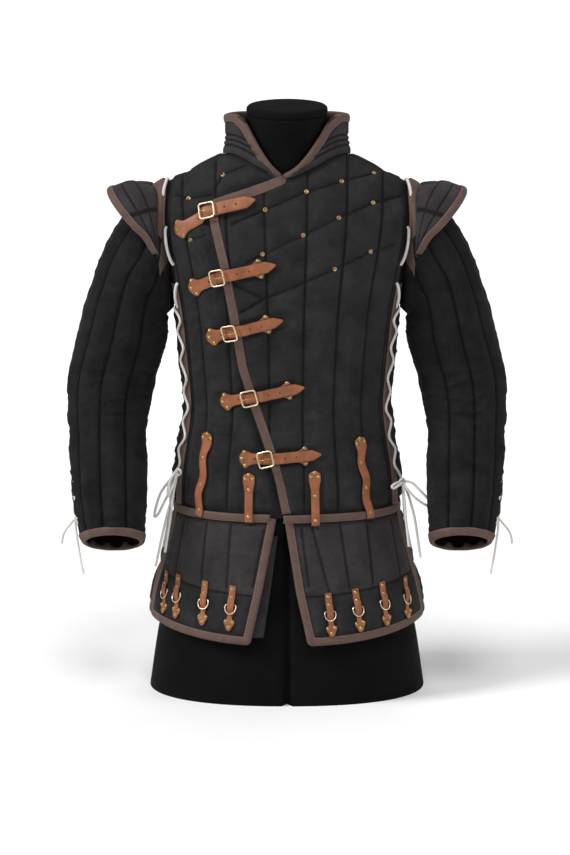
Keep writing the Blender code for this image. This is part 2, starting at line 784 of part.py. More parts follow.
SKIRT_BIND_LOW = 2 * SEAM
BINDING_TURN = 3.75


def skirt_binding(name):
    """Bound front edge, hem and slit edge of one skirt panel, in one strip."""
    sites = SKIRTS[name]
    last = len(sites) - 1
    hem = sites[last]
    edge = [row[0] for row in sites[:-1]] + hem + [row[-1] for row in reversed(sites[:-1])]
    centre_angle = (hem[0][0] + hem[-1][0]) / 2
    sites_out = []
    for k, (angle, level) in enumerate(edge):
        on_side = k < last + 1 or k >= last + len(hem) - 1
        turn = BINDING_TURN * (1 if angle < centre_angle else -1) if on_side else 0.0
        rise = BINDING_WIDTH if last <= k <= last + len(hem) - 1 else 0.0
        sites_out.append([(angle, level), (angle + turn, level + rise)])
    sites_out[0] = [(a, WAIST - 0.0085) for a, _ in sites_out[0]]
    sites_out[-1] = [(a, WAIST - 0.0085) for a, _ in sites_out[-1]]
    return patch(name.replace("skirt", "skirt_binding"), sites_out, SKIRT_BIND_LOW, SKIRT_BIND_LOW + BINDING,
                 "trim")


def under_flap():
    """Plain strip sewn behind the under skirt's front edge."""
    sites = []
    for share in SKIRT_SHARES[1:]:
        z = blend(SKIRT_TOP, 0.122, share)
        edge = under_skirt_angle(z)
        sites.append([(edge - 4, z), (edge + 1.5, z), (edge + blend(2.5, 5.5, share), z)])
    return patch("under_flap", sites, -SKIRT_WALL - 0.0025, -SKIRT_WALL - 0.0010, "twill")


RingTab = namedtuple("RingTab", "top_x top_z low_x low_z sink")
RING_TABS = (
    RingTab(-0.2100, 0.2120, -0.2160, 0.1420, 0.0006), RingTab(-0.1890, 0.2130, -0.1938, 0.1400, 0.0004),
    RingTab(-0.1420, 0.2100, -0.1474, 0.1355, 0.0), RingTab(-0.0938, 0.2060, -0.1018, 0.1305, 0.0004),
    RingTab(0.0710, 0.1950, 0.0784, 0.1215, 0.0), RingTab(0.1180, 0.1995, 0.1281, 0.1270, 0.0),
    RingTab(0.1648, 0.2060, 0.1736, 0.1310, 0.0), RingTab(0.2055, 0.2050, 0.2105, 0.1340, 0.0),
)
RING_AT = 0.42
RING_WIRE = 0.0010
RING_HALF = 0.0095
RING_DROP = 0.0165
TAB_LEVEL = SKIRT_CREST + SEAM
RING_TAB_SHAPE = ((0.0, 0.003), (0.004, 0.0055), (0.58, 0.0055), (0.72, 0.0040), (0.86, 0.0072),
                  (1.0, 0.0012))


def ring_tab_line(row):
    line = spot_line((Spot(row.top_x, row.top_z), Spot(row.low_x, row.low_z)), 0.0075)
    return line, [k / (len(line) - 1) for k in range(len(line))]


def ring_tab(number, row):
    """Leather tab that holds a ring's bar against the skirt."""
    line, shares = ring_tab_line(row)
    halves = [along(RING_TAB_SHAPE, share) for share in shares]
    near = [max(0.0, 1 - abs(share - RING_AT) / 0.16) for share in shares]
    heights = [TAB_LEVEL - row.sink + (2 * RING_WIRE + 0.0016) * min(1.0, 2.2 * n)
               + (BINDING if line[k].z < 0.149 else 0) for k, n in enumerate(near)]
    return ribbon(f"ring_tab_{number}", line, halves, heights, 0.0016, "strap_leather")


def ring_frame(row):
    """Bar middle, bar direction, the way down and the way out at a hem ring."""
    line, shares = ring_tab_line(row)
    where = Spot(blend(row.top_x, row.low_x, RING_AT), blend(row.top_z, row.low_z, RING_AT))
    lower = Spot(blend(row.top_x, row.low_x, 0.8), blend(row.top_z, row.low_z, 0.8))
    middle = torso(*site(*where), TAB_LEVEL - row.sink + RING_WIRE + 0.0007)
    foot = torso(*site(*lower), TAB_LEVEL + BINDING + 0.0016 + 2 * SEAM + RING_WIRE + 0.0012)
    down = (foot - middle).normalized()
    out = (torso(*site(*where), 0.01) - torso(*site(*where))).normalized()
    bar = down.cross(out).normalized()
    return middle, bar, down, bar.cross(down)


def hem_ring(number, row):
    """D-ring: a straight bar under the tab and a bow that hangs below it."""
    middle, bar, down, out = ring_frame(row)
    path = [(-RING_HALF, 0.0), (RING_HALF, 0.0)]
    for k in range(7):
        turn = pi * k / 6
        path.append((RING_HALF * cos(turn), 0.006 + (RING_DROP - 0.006) * sin(turn)))
    rings = []
    count = len(path)
    for k in range(count):
        before, here, after = path[k - 1], path[k], path[(k + 1) % count]
        ahead = Vector((after[0] - before[0], after[1] - before[1])).normalized()
        side = bar * -ahead.y + down * ahead.x
        hub = middle + bar * here[0] + down * here[1]
        rings.append([hub + side * RING_WIRE * cos(2 * pi * m / 5) + out * RING_WIRE * sin(2 * pi * m / 5)
                      for m in range(5)])
    return sweep(f"hem_ring_{number}", rings, "pale_brass", closed=True)


# Sleeves, caps and bands; side is 1 on the wearer's left and -1 on the right

def mirrored(points, side):
    return [[Vector((p.x * side, p.y, p.z)) for p in row] for row in points]


SleeveRing = namedtuple("SleeveRing", "in_x in_z out_x out_z y half_depth tilt")
SLEEVE = (
    SleeveRing(0.206, 0.650, 0.262, 0.824, 0.000, 0.064, 0),
    SleeveRing(0.208, 0.640, 0.300, 0.765, 0.000, 0.065, 0),
    SleeveRing(0.206, 0.628, 0.329, 0.690, 0.000, 0.067, 0),
    SleeveRing(0.207, 0.600, 0.347, 0.628, 0.000, 0.069, 0),
    SleeveRing(0.219, 0.560, 0.361, 0.572, 0.000, 0.069, 4),
    SleeveRing(0.230, 0.522, 0.368, 0.530, -0.004, 0.067, 12),
    SleeveRing(0.237, 0.488, 0.368, 0.493, -0.017, 0.064, 22),
    SleeveRing(0.242, 0.450, 0.365, 0.452, -0.038, 0.062, 28),
    SleeveRing(0.242, 0.395, 0.361, 0.395, -0.068, 0.060, 29),
    SleeveRing(0.242, 0.340, 0.356, 0.340, -0.097, 0.056, 29),
    SleeveRing(0.242, 0.298, 0.348, 0.298, -0.118, 0.052, 29),
    SleeveRing(0.242, 0.277, 0.343, 0.277, -0.128, 0.050, 29),
)
SLEEVE_POINTS = 2 * ARM_STEPS
SLEEVE_WALL = 0.004


def armhole(out, grow=0.0):
    """Points round the wearer's left armhole, from its lowest one, forwards, over and back down."""
    loop = []
    for k in range(SLEEVE_POINTS):
        share = arm_share(k if k <= ARM_STEPS else SLEEVE_POINTS - k)
        angle = arm_angle(share)
        turn = pi * share
        wide = grow * degrees(1 / 0.13) * min(1.0, 2 * sin(turn / 2))
        level = min(blend(CHEST, SHOULDER, share), SHOULDER) - grow * max(0.0, cos(turn))
        angle -= wide
        loop.append(torso(angle if k <= ARM_STEPS else 180 - angle, level, out))
    return loop


def sleeve_grids():
    """Outer and inner points of the wearer's left sleeve."""
    hub = sum(armhole(0), Vector()) / SLEEVE_POINTS
    outer, inner = [], []
    for out, least in ((-0.004, 0.0012), (0.009, 0.0012)):
        rows = [[], []]
        for p in armhole(out):
            inwards = Vector((0, hub.y - p.y, hub.z - p.z)).normalized()
            pull = least + 0.0040 * max(0.0, (p.z - hub.z) / 0.1) ** 3
            rows[0].append(p + inwards * pull)
            rows[1].append(p + inwards * (pull + SLEEVE_WALL))
        outer.append(rows[0])
        inner.append(rows[1])
    for i, row in enumerate(SLEEVE):
        low, high = Vector((row.in_x, row.y, row.in_z)), Vector((row.out_x, row.y, row.out_z))
        middle, across = (low + high) / 2, (high - low) / 2
        deep = Vector((0, -cos(radians(row.tilt)), sin(radians(row.tilt)))) * row.half_depth
        rows = [[], []]
        for k in range(SLEEVE_POINTS):
            turn = pi - 2 * pi * k / SLEEVE_POINTS
            spoke = across * cos(turn) + deep * sin(turn)
            roll = CREST * 0.8 if k % 2 and 0 < i < len(SLEEVE) - 2 else 0.0
            rows[0].append(middle + spoke + spoke.normalized() * roll)
            rows[1].append(middle + spoke - spoke.normalized() * SLEEVE_WALL)
        outer.append(rows[0])
        inner.append(rows[1])
    return outer, inner


SIDES = {"left": 1, "right": -1}


def sleeve(name, side):
    outer, inner = sleeve_grids()
    return wall(f"sleeve_{name}", mirrored(outer, side), mirrored(inner, side), "twill", ring=True)


def cuff_binding(name, side):
    outer, inner = sleeve_grids()
    path = [(len(outer) - 1, j, [(-1, 0)]) for j in range(SLEEVE_POINTS)]
    grids = (mirrored(outer, side), mirrored(inner, side))
    return channel(f"cuff_binding_{name}", *grids, path, "trim", 0.013, 0.0005, True)


BAND_LOW = CREST + SEAM
SIDE_STRIP_ANGLE = 70.0


def armhole_band(name, side):
    """Band round the armhole, and the strip that runs on from it down the side to the waist."""
    lift = 0.0012
    inner_edge = [armhole(out, 0.001) for out in (BAND_LOW + lift, BAND_LOW + lift + BINDING)]
    outer_edge = [armhole(out, 0.016) for out in (BAND_LOW + lift, BAND_LOW + lift + BINDING)]
    rings = [list(points) for points in zip(inner_edge[0], inner_edge[1], outer_edge[1], outer_edge[0])]
    rings = mirrored(rings, side)
    band = sweep(f"armhole_band_{name}", rings, "trim", closed=True)
    levels = [blend(WAIST + 0.0085, CHEST + 0.045, k / 22) for k in range(23)]
    sites = [[(side * (SIDE_STRIP_ANGLE + d), level) for d in (-4.2, 4.2)] for level in levels]
    strip = patch("side_strip", sites, BAND_LOW + 0.0009, BAND_LOW + BINDING + 0.0015, "trim")
    return join(f"armhole_band_{name}", [band, strip])


CAP_WALL = 0.0045
CAP_ARCH = 0.009
CAP_ROWS = 4
# Free edge of the wing, by the share of the way from its front corner to the ridge of the shoulder.
CapRim = namedtuple("CapRim", "share x y z")
CAP_RIM = (
    CapRim(0.0, 0.218, 0.066, 0.797), CapRim(0.2, 0.248, 0.069, 0.796), CapRim(0.5, 0.279, 0.056, 0.824),
    CapRim(0.75, 0.295, 0.034, 0.843), CapRim(1.0, 0.302, 0.000, 0.853),
)


def cap_grids():
    """Wing over the sleeve head, from the top half of the armhole."""
    loop = armhole(BAND_LOW + BINDING + 0.0020, 0.004)
    first, last = ARM_STEPS // 2, SLEEVE_POINTS - ARM_STEPS // 2
    hub = sum(loop, Vector()) / SLEEVE_POINTS
    outer, inner = [], []
    for i in range(CAP_ROWS + 1):
        rows = [[], []]
        for k in range(first, last + 1):
            share = (k - first) / (last - first)
            along = 1 - abs(2 * share - 1)
            x, y, z = (smooth_value(CAP_RIM, name, along) for name in ("x", "y", "z"))
            rim = Vector((x, y if share > 0.5 else -y, z))
            across = Vector((0, loop[k].y - hub.y, loop[k].z - hub.z)).normalized()
            way = (rim - loop[k]).normalized()
            normal = (across - way * across.dot(way)).normalized()
            arch = CAP_ARCH * sin(pi * i / CAP_ROWS) * sin(pi * share)
            p = loop[k].lerp(rim, i / CAP_ROWS) + normal * arch
            rows[0].append(p + normal * CAP_WALL)
            rows[1].append(p)
        outer.append(rows[0])
        inner.append(rows[1])
    return outer, inner


def cap(name, side):
    outer, inner = cap_grids()
    return wall(f"cap_{name}", mirrored(outer, side), mirrored(inner, side), "canvas")


def cap_binding(name, side):
    outer, inner = cap_grids()
    path = [(CAP_ROWS, j, [(-1, 0)]) for j in range(1, len(outer[0]) - 1)]
    grids = (mirrored(outer, side), mirrored(inner, side))
    return channel(f"cap_binding_{name}", *grids, path, "trim", 0.0085, 0.0010)


# Laces

LACE_RADIUS = 0.0020
LACE_OUT = BAND_LOW + BINDING + LACE_RADIUS + 0.0022
Knot = namedtuple("Knot", "angle level out")


def smooth_route(points, count):
    """Evenly spaced points on a smooth curve through a route."""
    curve = []
    for k in range(len(points) - 1):
        p0, p1 = points[max(k - 1, 0)], points[k]
        p2, p3 = points[k + 1], points[min(k + 2, len(points) - 1)]
        for s in range(12):
            t = s / 12
            curve.append(0.5 * ((2 * p1) + (p2 - p0) * t + (2 * p0 - 5 * p1 + 4 * p2 - p3) * t * t
                                + (3 * p1 - p0 - 3 * p2 + p3) * t ** 3))
    curve.append(points[-1])
    gone = [0.0]
    for a, b in zip(curve, curve[1:]):
        gone.append(gone[-1] + (b - a).length)
    even = []
    for k in range(count):
        goal = gone[-1] * k / (count - 1)
        i = max(j for j in range(len(gone) - 1) if gone[j] <= goal)
        even.append(curve[i].lerp(curve[i + 1], (goal - gone[i]) / (gone[i + 1] - gone[i])))
    return even


def cord(name, points, count):
    data = bpy.data.curves.new(name, "CURVE")
    data.dimensions = "3D"
    data.bevel_depth, data.bevel_resolution, data.use_fill_caps = LACE_RADIUS, 2, True
    line = data.splines.new("POLY")
    even = smooth_route(points, count)
    line.points.add(len(even) - 1)
    for point, where in zip(line.points, even):
        point.co = (*where, 1)
    return add_object(name, data, "lace")


SIDE_LACE = (
    Knot(74.0, 0.662, 0.0), Knot(66.5, 0.645, 0.0), Knot(73.5, 0.622, 0.0), Knot(66.5, 0.598, 0.0),
    Knot(73.5, 0.572, 0.0), Knot(66.5, 0.545, 0.0), Knot(73.5, 0.518, 0.0), Knot(66.5, 0.492, 0.0),
    Knot(73.5, 0.466, 0.0), Knot(66.5, 0.442, 0.0), Knot(73.5, 0.418, 0.0), Knot(68.0, 0.396, 0.0),
    Knot(73.0, 0.378, 0.0005), Knot(78.0, 0.362, 0.001), Knot(82.0, 0.335, 0.001),
    Knot(82.0, 0.305, 0.001), Knot(80.0, 0.275, 0.001), Knot(77.0, 0.245, 0.001),
)


def side_lace(name, side):
    points = [torso(side * knot.angle, knot.level, LACE_OUT + knot.out) for knot in SIDE_LACE]
    return cord(f"side_lace_{name}", points, 34)


CuffKnot = namedtuple("CuffKnot", "turn height out")
CUFF_LACE = (
    CuffKnot(22, 0.365, 0.0), CuffKnot(2, 0.352, 0.0), CuffKnot(22, 0.340, 0.0), CuffKnot(2, 0.326, 0.0),
    CuffKnot(14, 0.312, 0.0008), CuffKnot(10, 0.296, 0.0030), CuffKnot(6, 0.275, 0.004),
    CuffKnot(2, 0.250, 0.005), CuffKnot(0, 0.228, 0.005),
)


def cuff_lace(name, side):
    """Lace on the outer side of the forearm, its end hanging by the cuff."""
    points = []
    for knot in CUFF_LACE:
        rows = sorted(SLEEVE, key=lambda row: abs((row.in_z + row.out_z) / 2 - knot.height))
        a, b = sorted(rows[:2], key=lambda row: -row.out_z)
        t = (a.out_z - knot.height) / (a.out_z - b.out_z)
        in_x, out_x = blend(a.in_x, b.in_x, t), blend(a.out_x, b.out_x, t)
        y, depth = blend(a.y, b.y, t), blend(a.half_depth, b.half_depth, min(t, 1))
        reach = LACE_RADIUS + CREST * 0.8 + 0.0013 + knot.out
        turn, tilt = radians(knot.turn), radians(a.tilt)
        x = (in_x + out_x) / 2 + ((out_x - in_x) / 2 + reach) * cos(turn)
        forward = (depth + reach) * sin(turn)
        points.append(Vector((x * side, y - forward * cos(tilt), knot.height + forward * sin(tilt))))
    return cord(f"cuff_lace_{name}", points, 18)


# Dress form

FORM_CLEAR = 0.0016
FORM_CLEAR_SIDE = 0.0028
FORM_SEAT = 0.0007
FORM_ARM_X = 0.172
FORM_TURNS = 28
FORM_LEVELS = (0.35, 0.41, 0.46, 0.51, 0.57, 0.64, 0.70, 0.75, 0.80, 0.85, 0.90, 0.93)


def form_point(turn, level):
    """Point inside the garment's plain inner face, flat where an arm would begin."""
    beside_arm = FORM_CLEAR_SIDE * abs(sin(radians(turn))) ** 4
    curved = 1.3 * FORM_CLEAR_SIDE if ARCH_START < level < 0.94 else beside_arm
    inside = WALL + FORM_CLEAR + curved if level < 0.94 else WALL + FORM_SEAT
    p = torso(turn, level, -inside)
    if level > 0.62:
        p.x = min(max(p.x, -FORM_ARM_X), FORM_ARM_X)
    return p


def dress_form():
    """Torso without limbs, on a flat base, with a neck under a flat cap."""
    turns = [360 * k / FORM_TURNS for k in range(FORM_TURNS)]
    count = len(turns)
    rows = [[base(turn, height, FORM) for turn in turns] for height in (0.0, 0.07, 0.14, 0.21, 0.28)]
    rows += [[form_point(turn, level) for turn in turns] for level in FORM_LEVELS]
    top = [form_point(turn, SHOULDER - 0.0005) for turn in turns]
    crown = []
    for k in range(count):
        middle = (top[k] + top[(count // 2 - k) % count]) / 2
        crown.append(Vector((middle.x, 0, middle.z)))
    rows.append(crown)
    points = [p for row in rows for p in row]
    faces = []
    for i in range(len(rows) - 1):
        for k in range(count):
            a, b = i * count + k, i * count + (k + 1) % count
            faces.append((a, b, b + count, a + count))
    faces.append(tuple(range(count)))
    body = solid("torso_form", points, faces, "form_cover", merge=0.0004)
    rings = []
    for z, half, y in ((0.86, 0.060, -0.010), (0.945, 0.062, -0.012),
                       (0.965, 0.066, -0.013), (0.992, 0.0685, -0.014), (1.002, 0.062, -0.014)):
        rings.append([Vector((half * sin(2 * pi * k / 24), y - 0.92 * half * cos(2 * pi * k / 24),
                              z - 0.05 * half * cos(2 * pi * k / 24) * (z > 0.95))) for k in range(24)])
    neck = sweep("neck_form", rings, "form_cover")
    return join("dress_form", [body, neck])


def place_all():
    for piece in (front_over, front_under, back, collar, collar_binding, closing_binding, under_flap):
        piece()
    waist_binding("waist_binding_under", SIDE_GAP - 90, site(-0.0300, WAIST)[0])
    waist_binding("waist_binding_back", 90 + SIDE_GAP, 270 - SIDE_GAP)
    for name in SKIRTS:
        skirt(name)
        skirt_binding(name)
    for number, row in enumerate(STRAPS, 1):
        strap(number, row)
        buckle(number, row)
    for row in TABS:
        waist_tab(row)
    for number, row in enumerate(RING_TABS, 1):
        ring_tab(number, row)
        hem_ring(number, row)
    for name, side in SIDES.items():
        for piece in (sleeve, cuff_binding, armhole_band, cap, cap_binding, side_lace, cuff_lace):
            piece(name, side)
    dress_form()


def clear_scene():
    for obj in list(bpy.data.objects):
        bpy.data.objects.remove(obj)


clear_scene()
place_all()
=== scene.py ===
"""Looks of a quilted gambeson on a limbless dress form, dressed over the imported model.

Metres, +Z up, the wearer faces -Y and the wearer's left is +X.  The torso cloth follows one surface: a site
on it is an angle round the body (0 at the middle of the front, 90 at the wearer's left side) and a level
that runs on over the shoulder ridge.  Point grids are numpy arrays of rows, columns and x, y, z.
"""

from collections import namedtuple
from itertools import product
from math import atan, cos, pi, radians, sin

import bpy
import numpy as np
from bpy.props import FloatProperty, FloatVectorProperty, PointerProperty
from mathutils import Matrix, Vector


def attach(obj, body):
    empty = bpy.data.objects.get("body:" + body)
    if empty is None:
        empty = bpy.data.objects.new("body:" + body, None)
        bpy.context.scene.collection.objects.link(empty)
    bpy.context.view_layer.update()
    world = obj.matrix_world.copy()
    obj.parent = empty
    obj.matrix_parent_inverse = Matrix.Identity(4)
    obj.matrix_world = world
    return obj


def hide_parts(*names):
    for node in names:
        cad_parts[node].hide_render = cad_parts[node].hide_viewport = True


bl_info = {
    "name": "Gambeson on a dress form",
    "version": (1, 0, 0),
    "blender": (4, 5, 0),
    "location": "3D View > Sidebar > Gambeson",
    "description": "Makes the quilted cloth, leather, brass and laces of the coat and the form under it",
    "category": "Object",
}

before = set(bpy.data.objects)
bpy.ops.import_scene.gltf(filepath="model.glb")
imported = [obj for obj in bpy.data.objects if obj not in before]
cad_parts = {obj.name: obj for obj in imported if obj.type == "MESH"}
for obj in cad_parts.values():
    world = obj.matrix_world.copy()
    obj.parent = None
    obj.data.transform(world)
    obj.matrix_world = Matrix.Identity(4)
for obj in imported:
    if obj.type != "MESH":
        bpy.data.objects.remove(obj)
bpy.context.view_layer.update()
GARMENT = "garment"

Ring = namedtuple("Ring", "height half_width front back")
BODY = (
    Ring(0.050, 0.240, 0.190, 0.178), Ring(0.120, 0.235, 0.176, 0.166), Ring(0.185, 0.223, 0.158, 0.148),
    Ring(0.230, 0.210, 0.145, 0.135), Ring(0.300, 0.192, 0.130, 0.120), Ring(0.373, 0.188, 0.126, 0.114),
    Ring(0.414, 0.182, 0.122, 0.108), Ring(0.456, 0.175, 0.118, 0.103), Ring(0.498, 0.171, 0.115, 0.102),
    Ring(0.540, 0.174, 0.116, 0.105), Ring(0.600, 0.180, 0.120, 0.112), Ring(0.660, 0.187, 0.126, 0.120),
    Ring(0.720, 0.199, 0.129, 0.124), Ring(0.780, 0.213, 0.127, 0.124), Ring(0.840, 0.222, 0.122, 0.120),
    Ring(0.960, 0.222, 0.118, 0.115),
)
FORM = (
    Ring(0.000, 0.235, 0.163, 0.160), Ring(0.100, 0.220, 0.155, 0.150), Ring(0.200, 0.198, 0.134, 0.126),
    Ring(0.280, 0.181, 0.118, 0.108), Ring(0.340, 0.178, 0.115, 0.104),
)
SQUARENESS = 2.3
ARCH_START, ARCH_RUN = 0.700, 0.250
SHOULDER = ARCH_START + ARCH_RUN
NECK_HALF, NECK_SIDE, NECK_CROWN = 0.0985, 0.9195, 0.945
TIP_X, TIP_Z = 0.2125, 0.865
WALL, SKIRT_WALL, SLEEVE_WALL = 0.006, 0.004, 0.004
CREST, SEAM, FACE = 0.003, 0.0003, 0.008
BINDING, BINDING_WIDTH, LEATHER = 0.0018, 0.0135, 0.0022
WAIST, CHEST = 0.318, 0.660
CLOSING_EDGE = np.array((
    (-0.005, 0.310), (-0.0185, 0.386), (-0.0386, 0.446), (-0.0586, 0.503), (-0.0803, 0.573),
    (-0.0967, 0.671), (-0.1115, 0.747), (-0.1291, 0.815), (-0.130, 0.8436)))
V_POINT = np.array((-0.0067, 0.888))
LAP_RISE, LAP_FADE = 0.0082, 0.070
SIDES = {"left": 1, "right": -1}


class GambesonSizes(bpy.types.PropertyGroup):
    quilt_depth: FloatProperty(name="Quilt depth",
                               description="How far the padding rises between stitched lines",
                               default=0.0074, min=0.0, max=0.012, unit="LENGTH")
    quilt_spread: FloatProperty(name="Quilt spread",
                                description="How far from a stitched line the dip reaches",
                                default=0.017, min=0.003, max=0.04, unit="LENGTH")
    wrinkle: FloatProperty(name="Wrinkle", description="Height of the soft folds in the padded cloth",
                           default=0.0030, min=0.0, max=0.006, unit="LENGTH")
    stitch_pitch: FloatProperty(name="Stitch pitch", description="Distance from one stitch to the next",
                                default=0.0045, min=0.002, max=0.01, unit="LENGTH")
    stud_radius: FloatProperty(name="Stud radius", description="Radius of the domed studs on the leather",
                               default=0.0035, min=0.001, max=0.006, unit="LENGTH")
    eyelet_radius: FloatProperty(name="Eyelet radius", description="Radius of the brass eyelets on the chest",
                                 default=0.0041, min=0.002, max=0.008, unit="LENGTH")
    lace_radius: FloatProperty(name="Lace radius", description="Half the width of the cotton lace",
                               default=0.0022, min=0.001, max=0.004, unit="LENGTH")


def colour_property(name, description, value):
    return FloatVectorProperty(
        name=name, description=description, default=value, subtype="COLOR", min=0, max=1)


class GambesonColours(bpy.types.PropertyGroup):
    twill: colour_property("Black twill", "Cloth of the body and sleeves", (0.0235, 0.0233, 0.0238))
    canvas: colour_property("Grey canvas", "Collar, wings and upper skirt", (0.038, 0.034, 0.035))
    trim: colour_property("Brown binding", "Folded bands over the edges", (0.088, 0.050, 0.039))
    tan: colour_property("Tan leather", "Straps and tabs", (0.270, 0.088, 0.032))
    brass: colour_property("Old brass", "Studs and eyelets", (0.400, 0.260, 0.110))
    gold: colour_property("Pale brass", "Buckles and rings", (0.780, 0.640, 0.430))
    lace: colour_property("Cotton lace", "Laces and their bows", (0.800, 0.775, 0.730))
    form: colour_property("Form cover", "Jersey over the dress form", (0.0040, 0.0040, 0.0043))


def ease(t):
    t = np.clip(t, 0.0, 1.0)
    return t * t * (3 - 2 * t)


def blend(a, b, t):
    return a + (b - a) * t


def signed_power(value, power):
    return np.abs(value) ** power * np.where(np.asarray(value) >= 0, 1.0, -1.0)


def smooth_table(rows, name, samples=900):
    """Heights and values of a named column, closely spaced on a smooth curve through the rows."""
    heights = np.array([row.height for row in rows])
    values = np.array([getattr(row, name) for row in rows])
    slopes = np.empty_like(values)
    for i in range(len(rows)):
        low, high = max(i - 1, 0), min(i + 1, len(rows) - 1)
        slopes[i] = (values[high] - values[low]) / (heights[high] - heights[low])
    at = np.linspace(heights[0], heights[-1], samples)
    k = np.clip(np.searchsorted(heights, at, side="right") - 1, 0, len(rows) - 2)
    step = heights[k + 1] - heights[k]
    t = (at - heights[k]) / step
    return at, ((2 * t**3 - 3 * t**2 + 1) * values[k] + (t**3 - 2 * t**2 + t) * step * slopes[k]
                + (3 * t**2 - 2 * t**3) * values[k + 1] + (t**3 - t**2) * step * slopes[k + 1])


CURVES = {(rows, name): smooth_table(rows, name) for rows in (BODY, FORM) for name in Ring._fields[1:]}


def size_at(rows, name, height):
    return np.interp(height, *CURVES[rows, name])


def ridge(x):
    """Height of the shoulder line at a distance from the middle."""
    x = np.abs(x)
    crown = NECK_SIDE + (NECK_CROWN - NECK_SIDE) * (1 - (x / NECK_HALF) ** 2)
    fall = (TIP_Z - NECK_SIDE) / (TIP_X - NECK_HALF)
    return np.where(x < NECK_HALF, crown, NECK_SIDE + fall * (x - NECK_HALF))


def base(angle, level, rows=BODY):
    """Points on the torso surface."""
    angle, level = np.broadcast_arrays(np.asarray(angle, float), np.asarray(level, float))
    turn = np.radians(angle)
    theta = np.maximum(0.0, (level - ARCH_START) / ARCH_RUN) * pi / 2
    side, ahead = signed_power(np.sin(turn), 2 / SQUARENESS), signed_power(np.cos(turn), 2 / SQUARENESS)
    x, z = 0.2 * side, level
    for _ in range(4):
        z = np.where(theta > 0, ARCH_START + (ridge(x) - ARCH_START) * np.sin(theta), level)
        x = size_at(rows, "half_width", z) * side
    depth = np.where(ahead > 0, size_at(rows, "front", z), size_at(rows, "back", z))
    return np.stack((x, -depth * ahead * np.cos(theta), z), axis=-1)


def unit(vectors):
    return vectors / np.maximum(np.linalg.norm(vectors, axis=-1, keepdims=True), 1e-9)


def torso_normal(angle, level, rows=BODY):
    angle, level = np.asarray(angle, float), np.asarray(level, float)
    across = base(angle + 1, level, rows) - base(angle - 1, level, rows)
    up = base(angle, level + 0.003, rows) - base(angle, level - 0.003, rows)
    return unit(np.cross(across, up))


def torso(angle, level, out=0.0, rows=BODY):
    """Points at a distance out from the torso surface."""
    return base(angle, level, rows) + torso_normal(angle, level, rows) * np.asarray(out, float)[..., None]


def site(x, z):
    """Angle and level of places on the front, from their distance right and their height."""
    x, z = np.asarray(x, float), np.asarray(z, float)
    half = size_at(BODY, "half_width", z) + FACE
    turn = np.degrees(np.arcsin(np.minimum(np.abs(x) / half, 1) ** (SQUARENESS / 2)))
    rise = np.clip((z - ARCH_START) / (ridge(x) - ARCH_START), 0, 1)
    level = np.where(z <= ARCH_START, z, ARCH_START + ARCH_RUN * np.arcsin(rise) / (pi / 2))
    return np.where(x >= 0, turn, -turn), level


def line_distance(points, line):
    """Distance of points to a polyline."""
    nearest = np.full(points.shape[:-1], 1.0)
    for a, b in zip(line[:-1], line[1:]):
        ab = b - a
        t = np.clip(((points - a) @ ab) / max(ab @ ab, 1e-12), 0, 1)
        nearest = np.minimum(nearest, np.linalg.norm(points - a - t[..., None] * ab, axis=-1))
    return nearest


OPENING_LINE = np.vstack((CLOSING_EDGE, V_POINT))


def edge_distance(x, z):
    return line_distance(np.stack(np.broadcast_arrays(x, z), axis=-1).astype(float), OPENING_LINE)


def lap(angle, level):
    """How far the over-front rises to pass over the under-front."""
    spot = base(angle, level)
    return LAP_RISE * (1 - ease(edge_distance(spot[..., 0], spot[..., 2]) / LAP_FADE))


def edge_x(z):
    return np.interp(z, CLOSING_EDGE[:, 1], CLOSING_EDGE[:, 0])


def soft_noise(points, scale, seed=0.0):
    """Smooth noise from -1 to 1; scale is cells to the metre, one number or one for each axis."""
    p = points * np.asarray(scale) + seed
    cell = np.floor(p)
    part = p - cell
    part = part * part * (3 - 2 * part)
    total = np.zeros(points.shape[:-1])
    for corner in product((0, 1), repeat=3):
        key = (cell + corner) @ np.array((127.1, 311.7, 74.7))
        value = np.sin(key) * 43758.5453
        weight = np.prod(np.where(corner, part, 1 - part), axis=-1)
        total += (2 * (value - np.floor(value)) - 1) * weight
    return total


def grid_normals(grid, ring=False):
    """Unit normals of a grid whose rows run one way round and whose columns run up or along."""
    if ring:
        across = np.roll(grid, -1, axis=1) - np.roll(grid, 1, axis=1)
    else:
        across = np.gradient(grid, axis=1)
    return unit(np.cross(across, np.gradient(grid, axis=0)))


def through(rows, count):
    """Rows on a smooth curve through key rows; the first axis runs along the curve."""
    rows = np.asarray(rows, float)
    at = np.linspace(0, len(rows) - 1, count)
    k = np.minimum(at.astype(int), len(rows) - 2)
    t = (at - k).reshape((-1,) + (1,) * (rows.ndim - 1))
    p0, p1 = rows[np.maximum(k - 1, 0)], rows[k]
    p2, p3 = rows[k + 1], rows[np.minimum(k + 2, len(rows) - 1)]
    return 0.5 * (2 * p1 + (p2 - p0) * t + (2 * p0 - 5 * p1 + 4 * p2 - p3) * t**2
                  + (3 * p1 - p0 - 3 * p2 + p3) * t**3)


def evenly(route, count):
    """Points evenly spaced along a smooth curve through a route."""
    curve = through(route, 16 * len(route))
    gone = np.concatenate(([0.0], np.cumsum(np.linalg.norm(np.diff(curve, axis=0), axis=1))))
    at = np.linspace(0, gone[-1], count)
    return np.stack([np.interp(at, gone, curve[:, i]) for i in range(3)], axis=-1)


def mirrored(points, side):
    return points * np.array((side, 1.0, 1.0))


# Meshes

def placed(name, data):
    """New object in the scene."""
    obj = bpy.data.objects.new(name, data)
    bpy.context.scene.collection.objects.link(obj)
    return obj


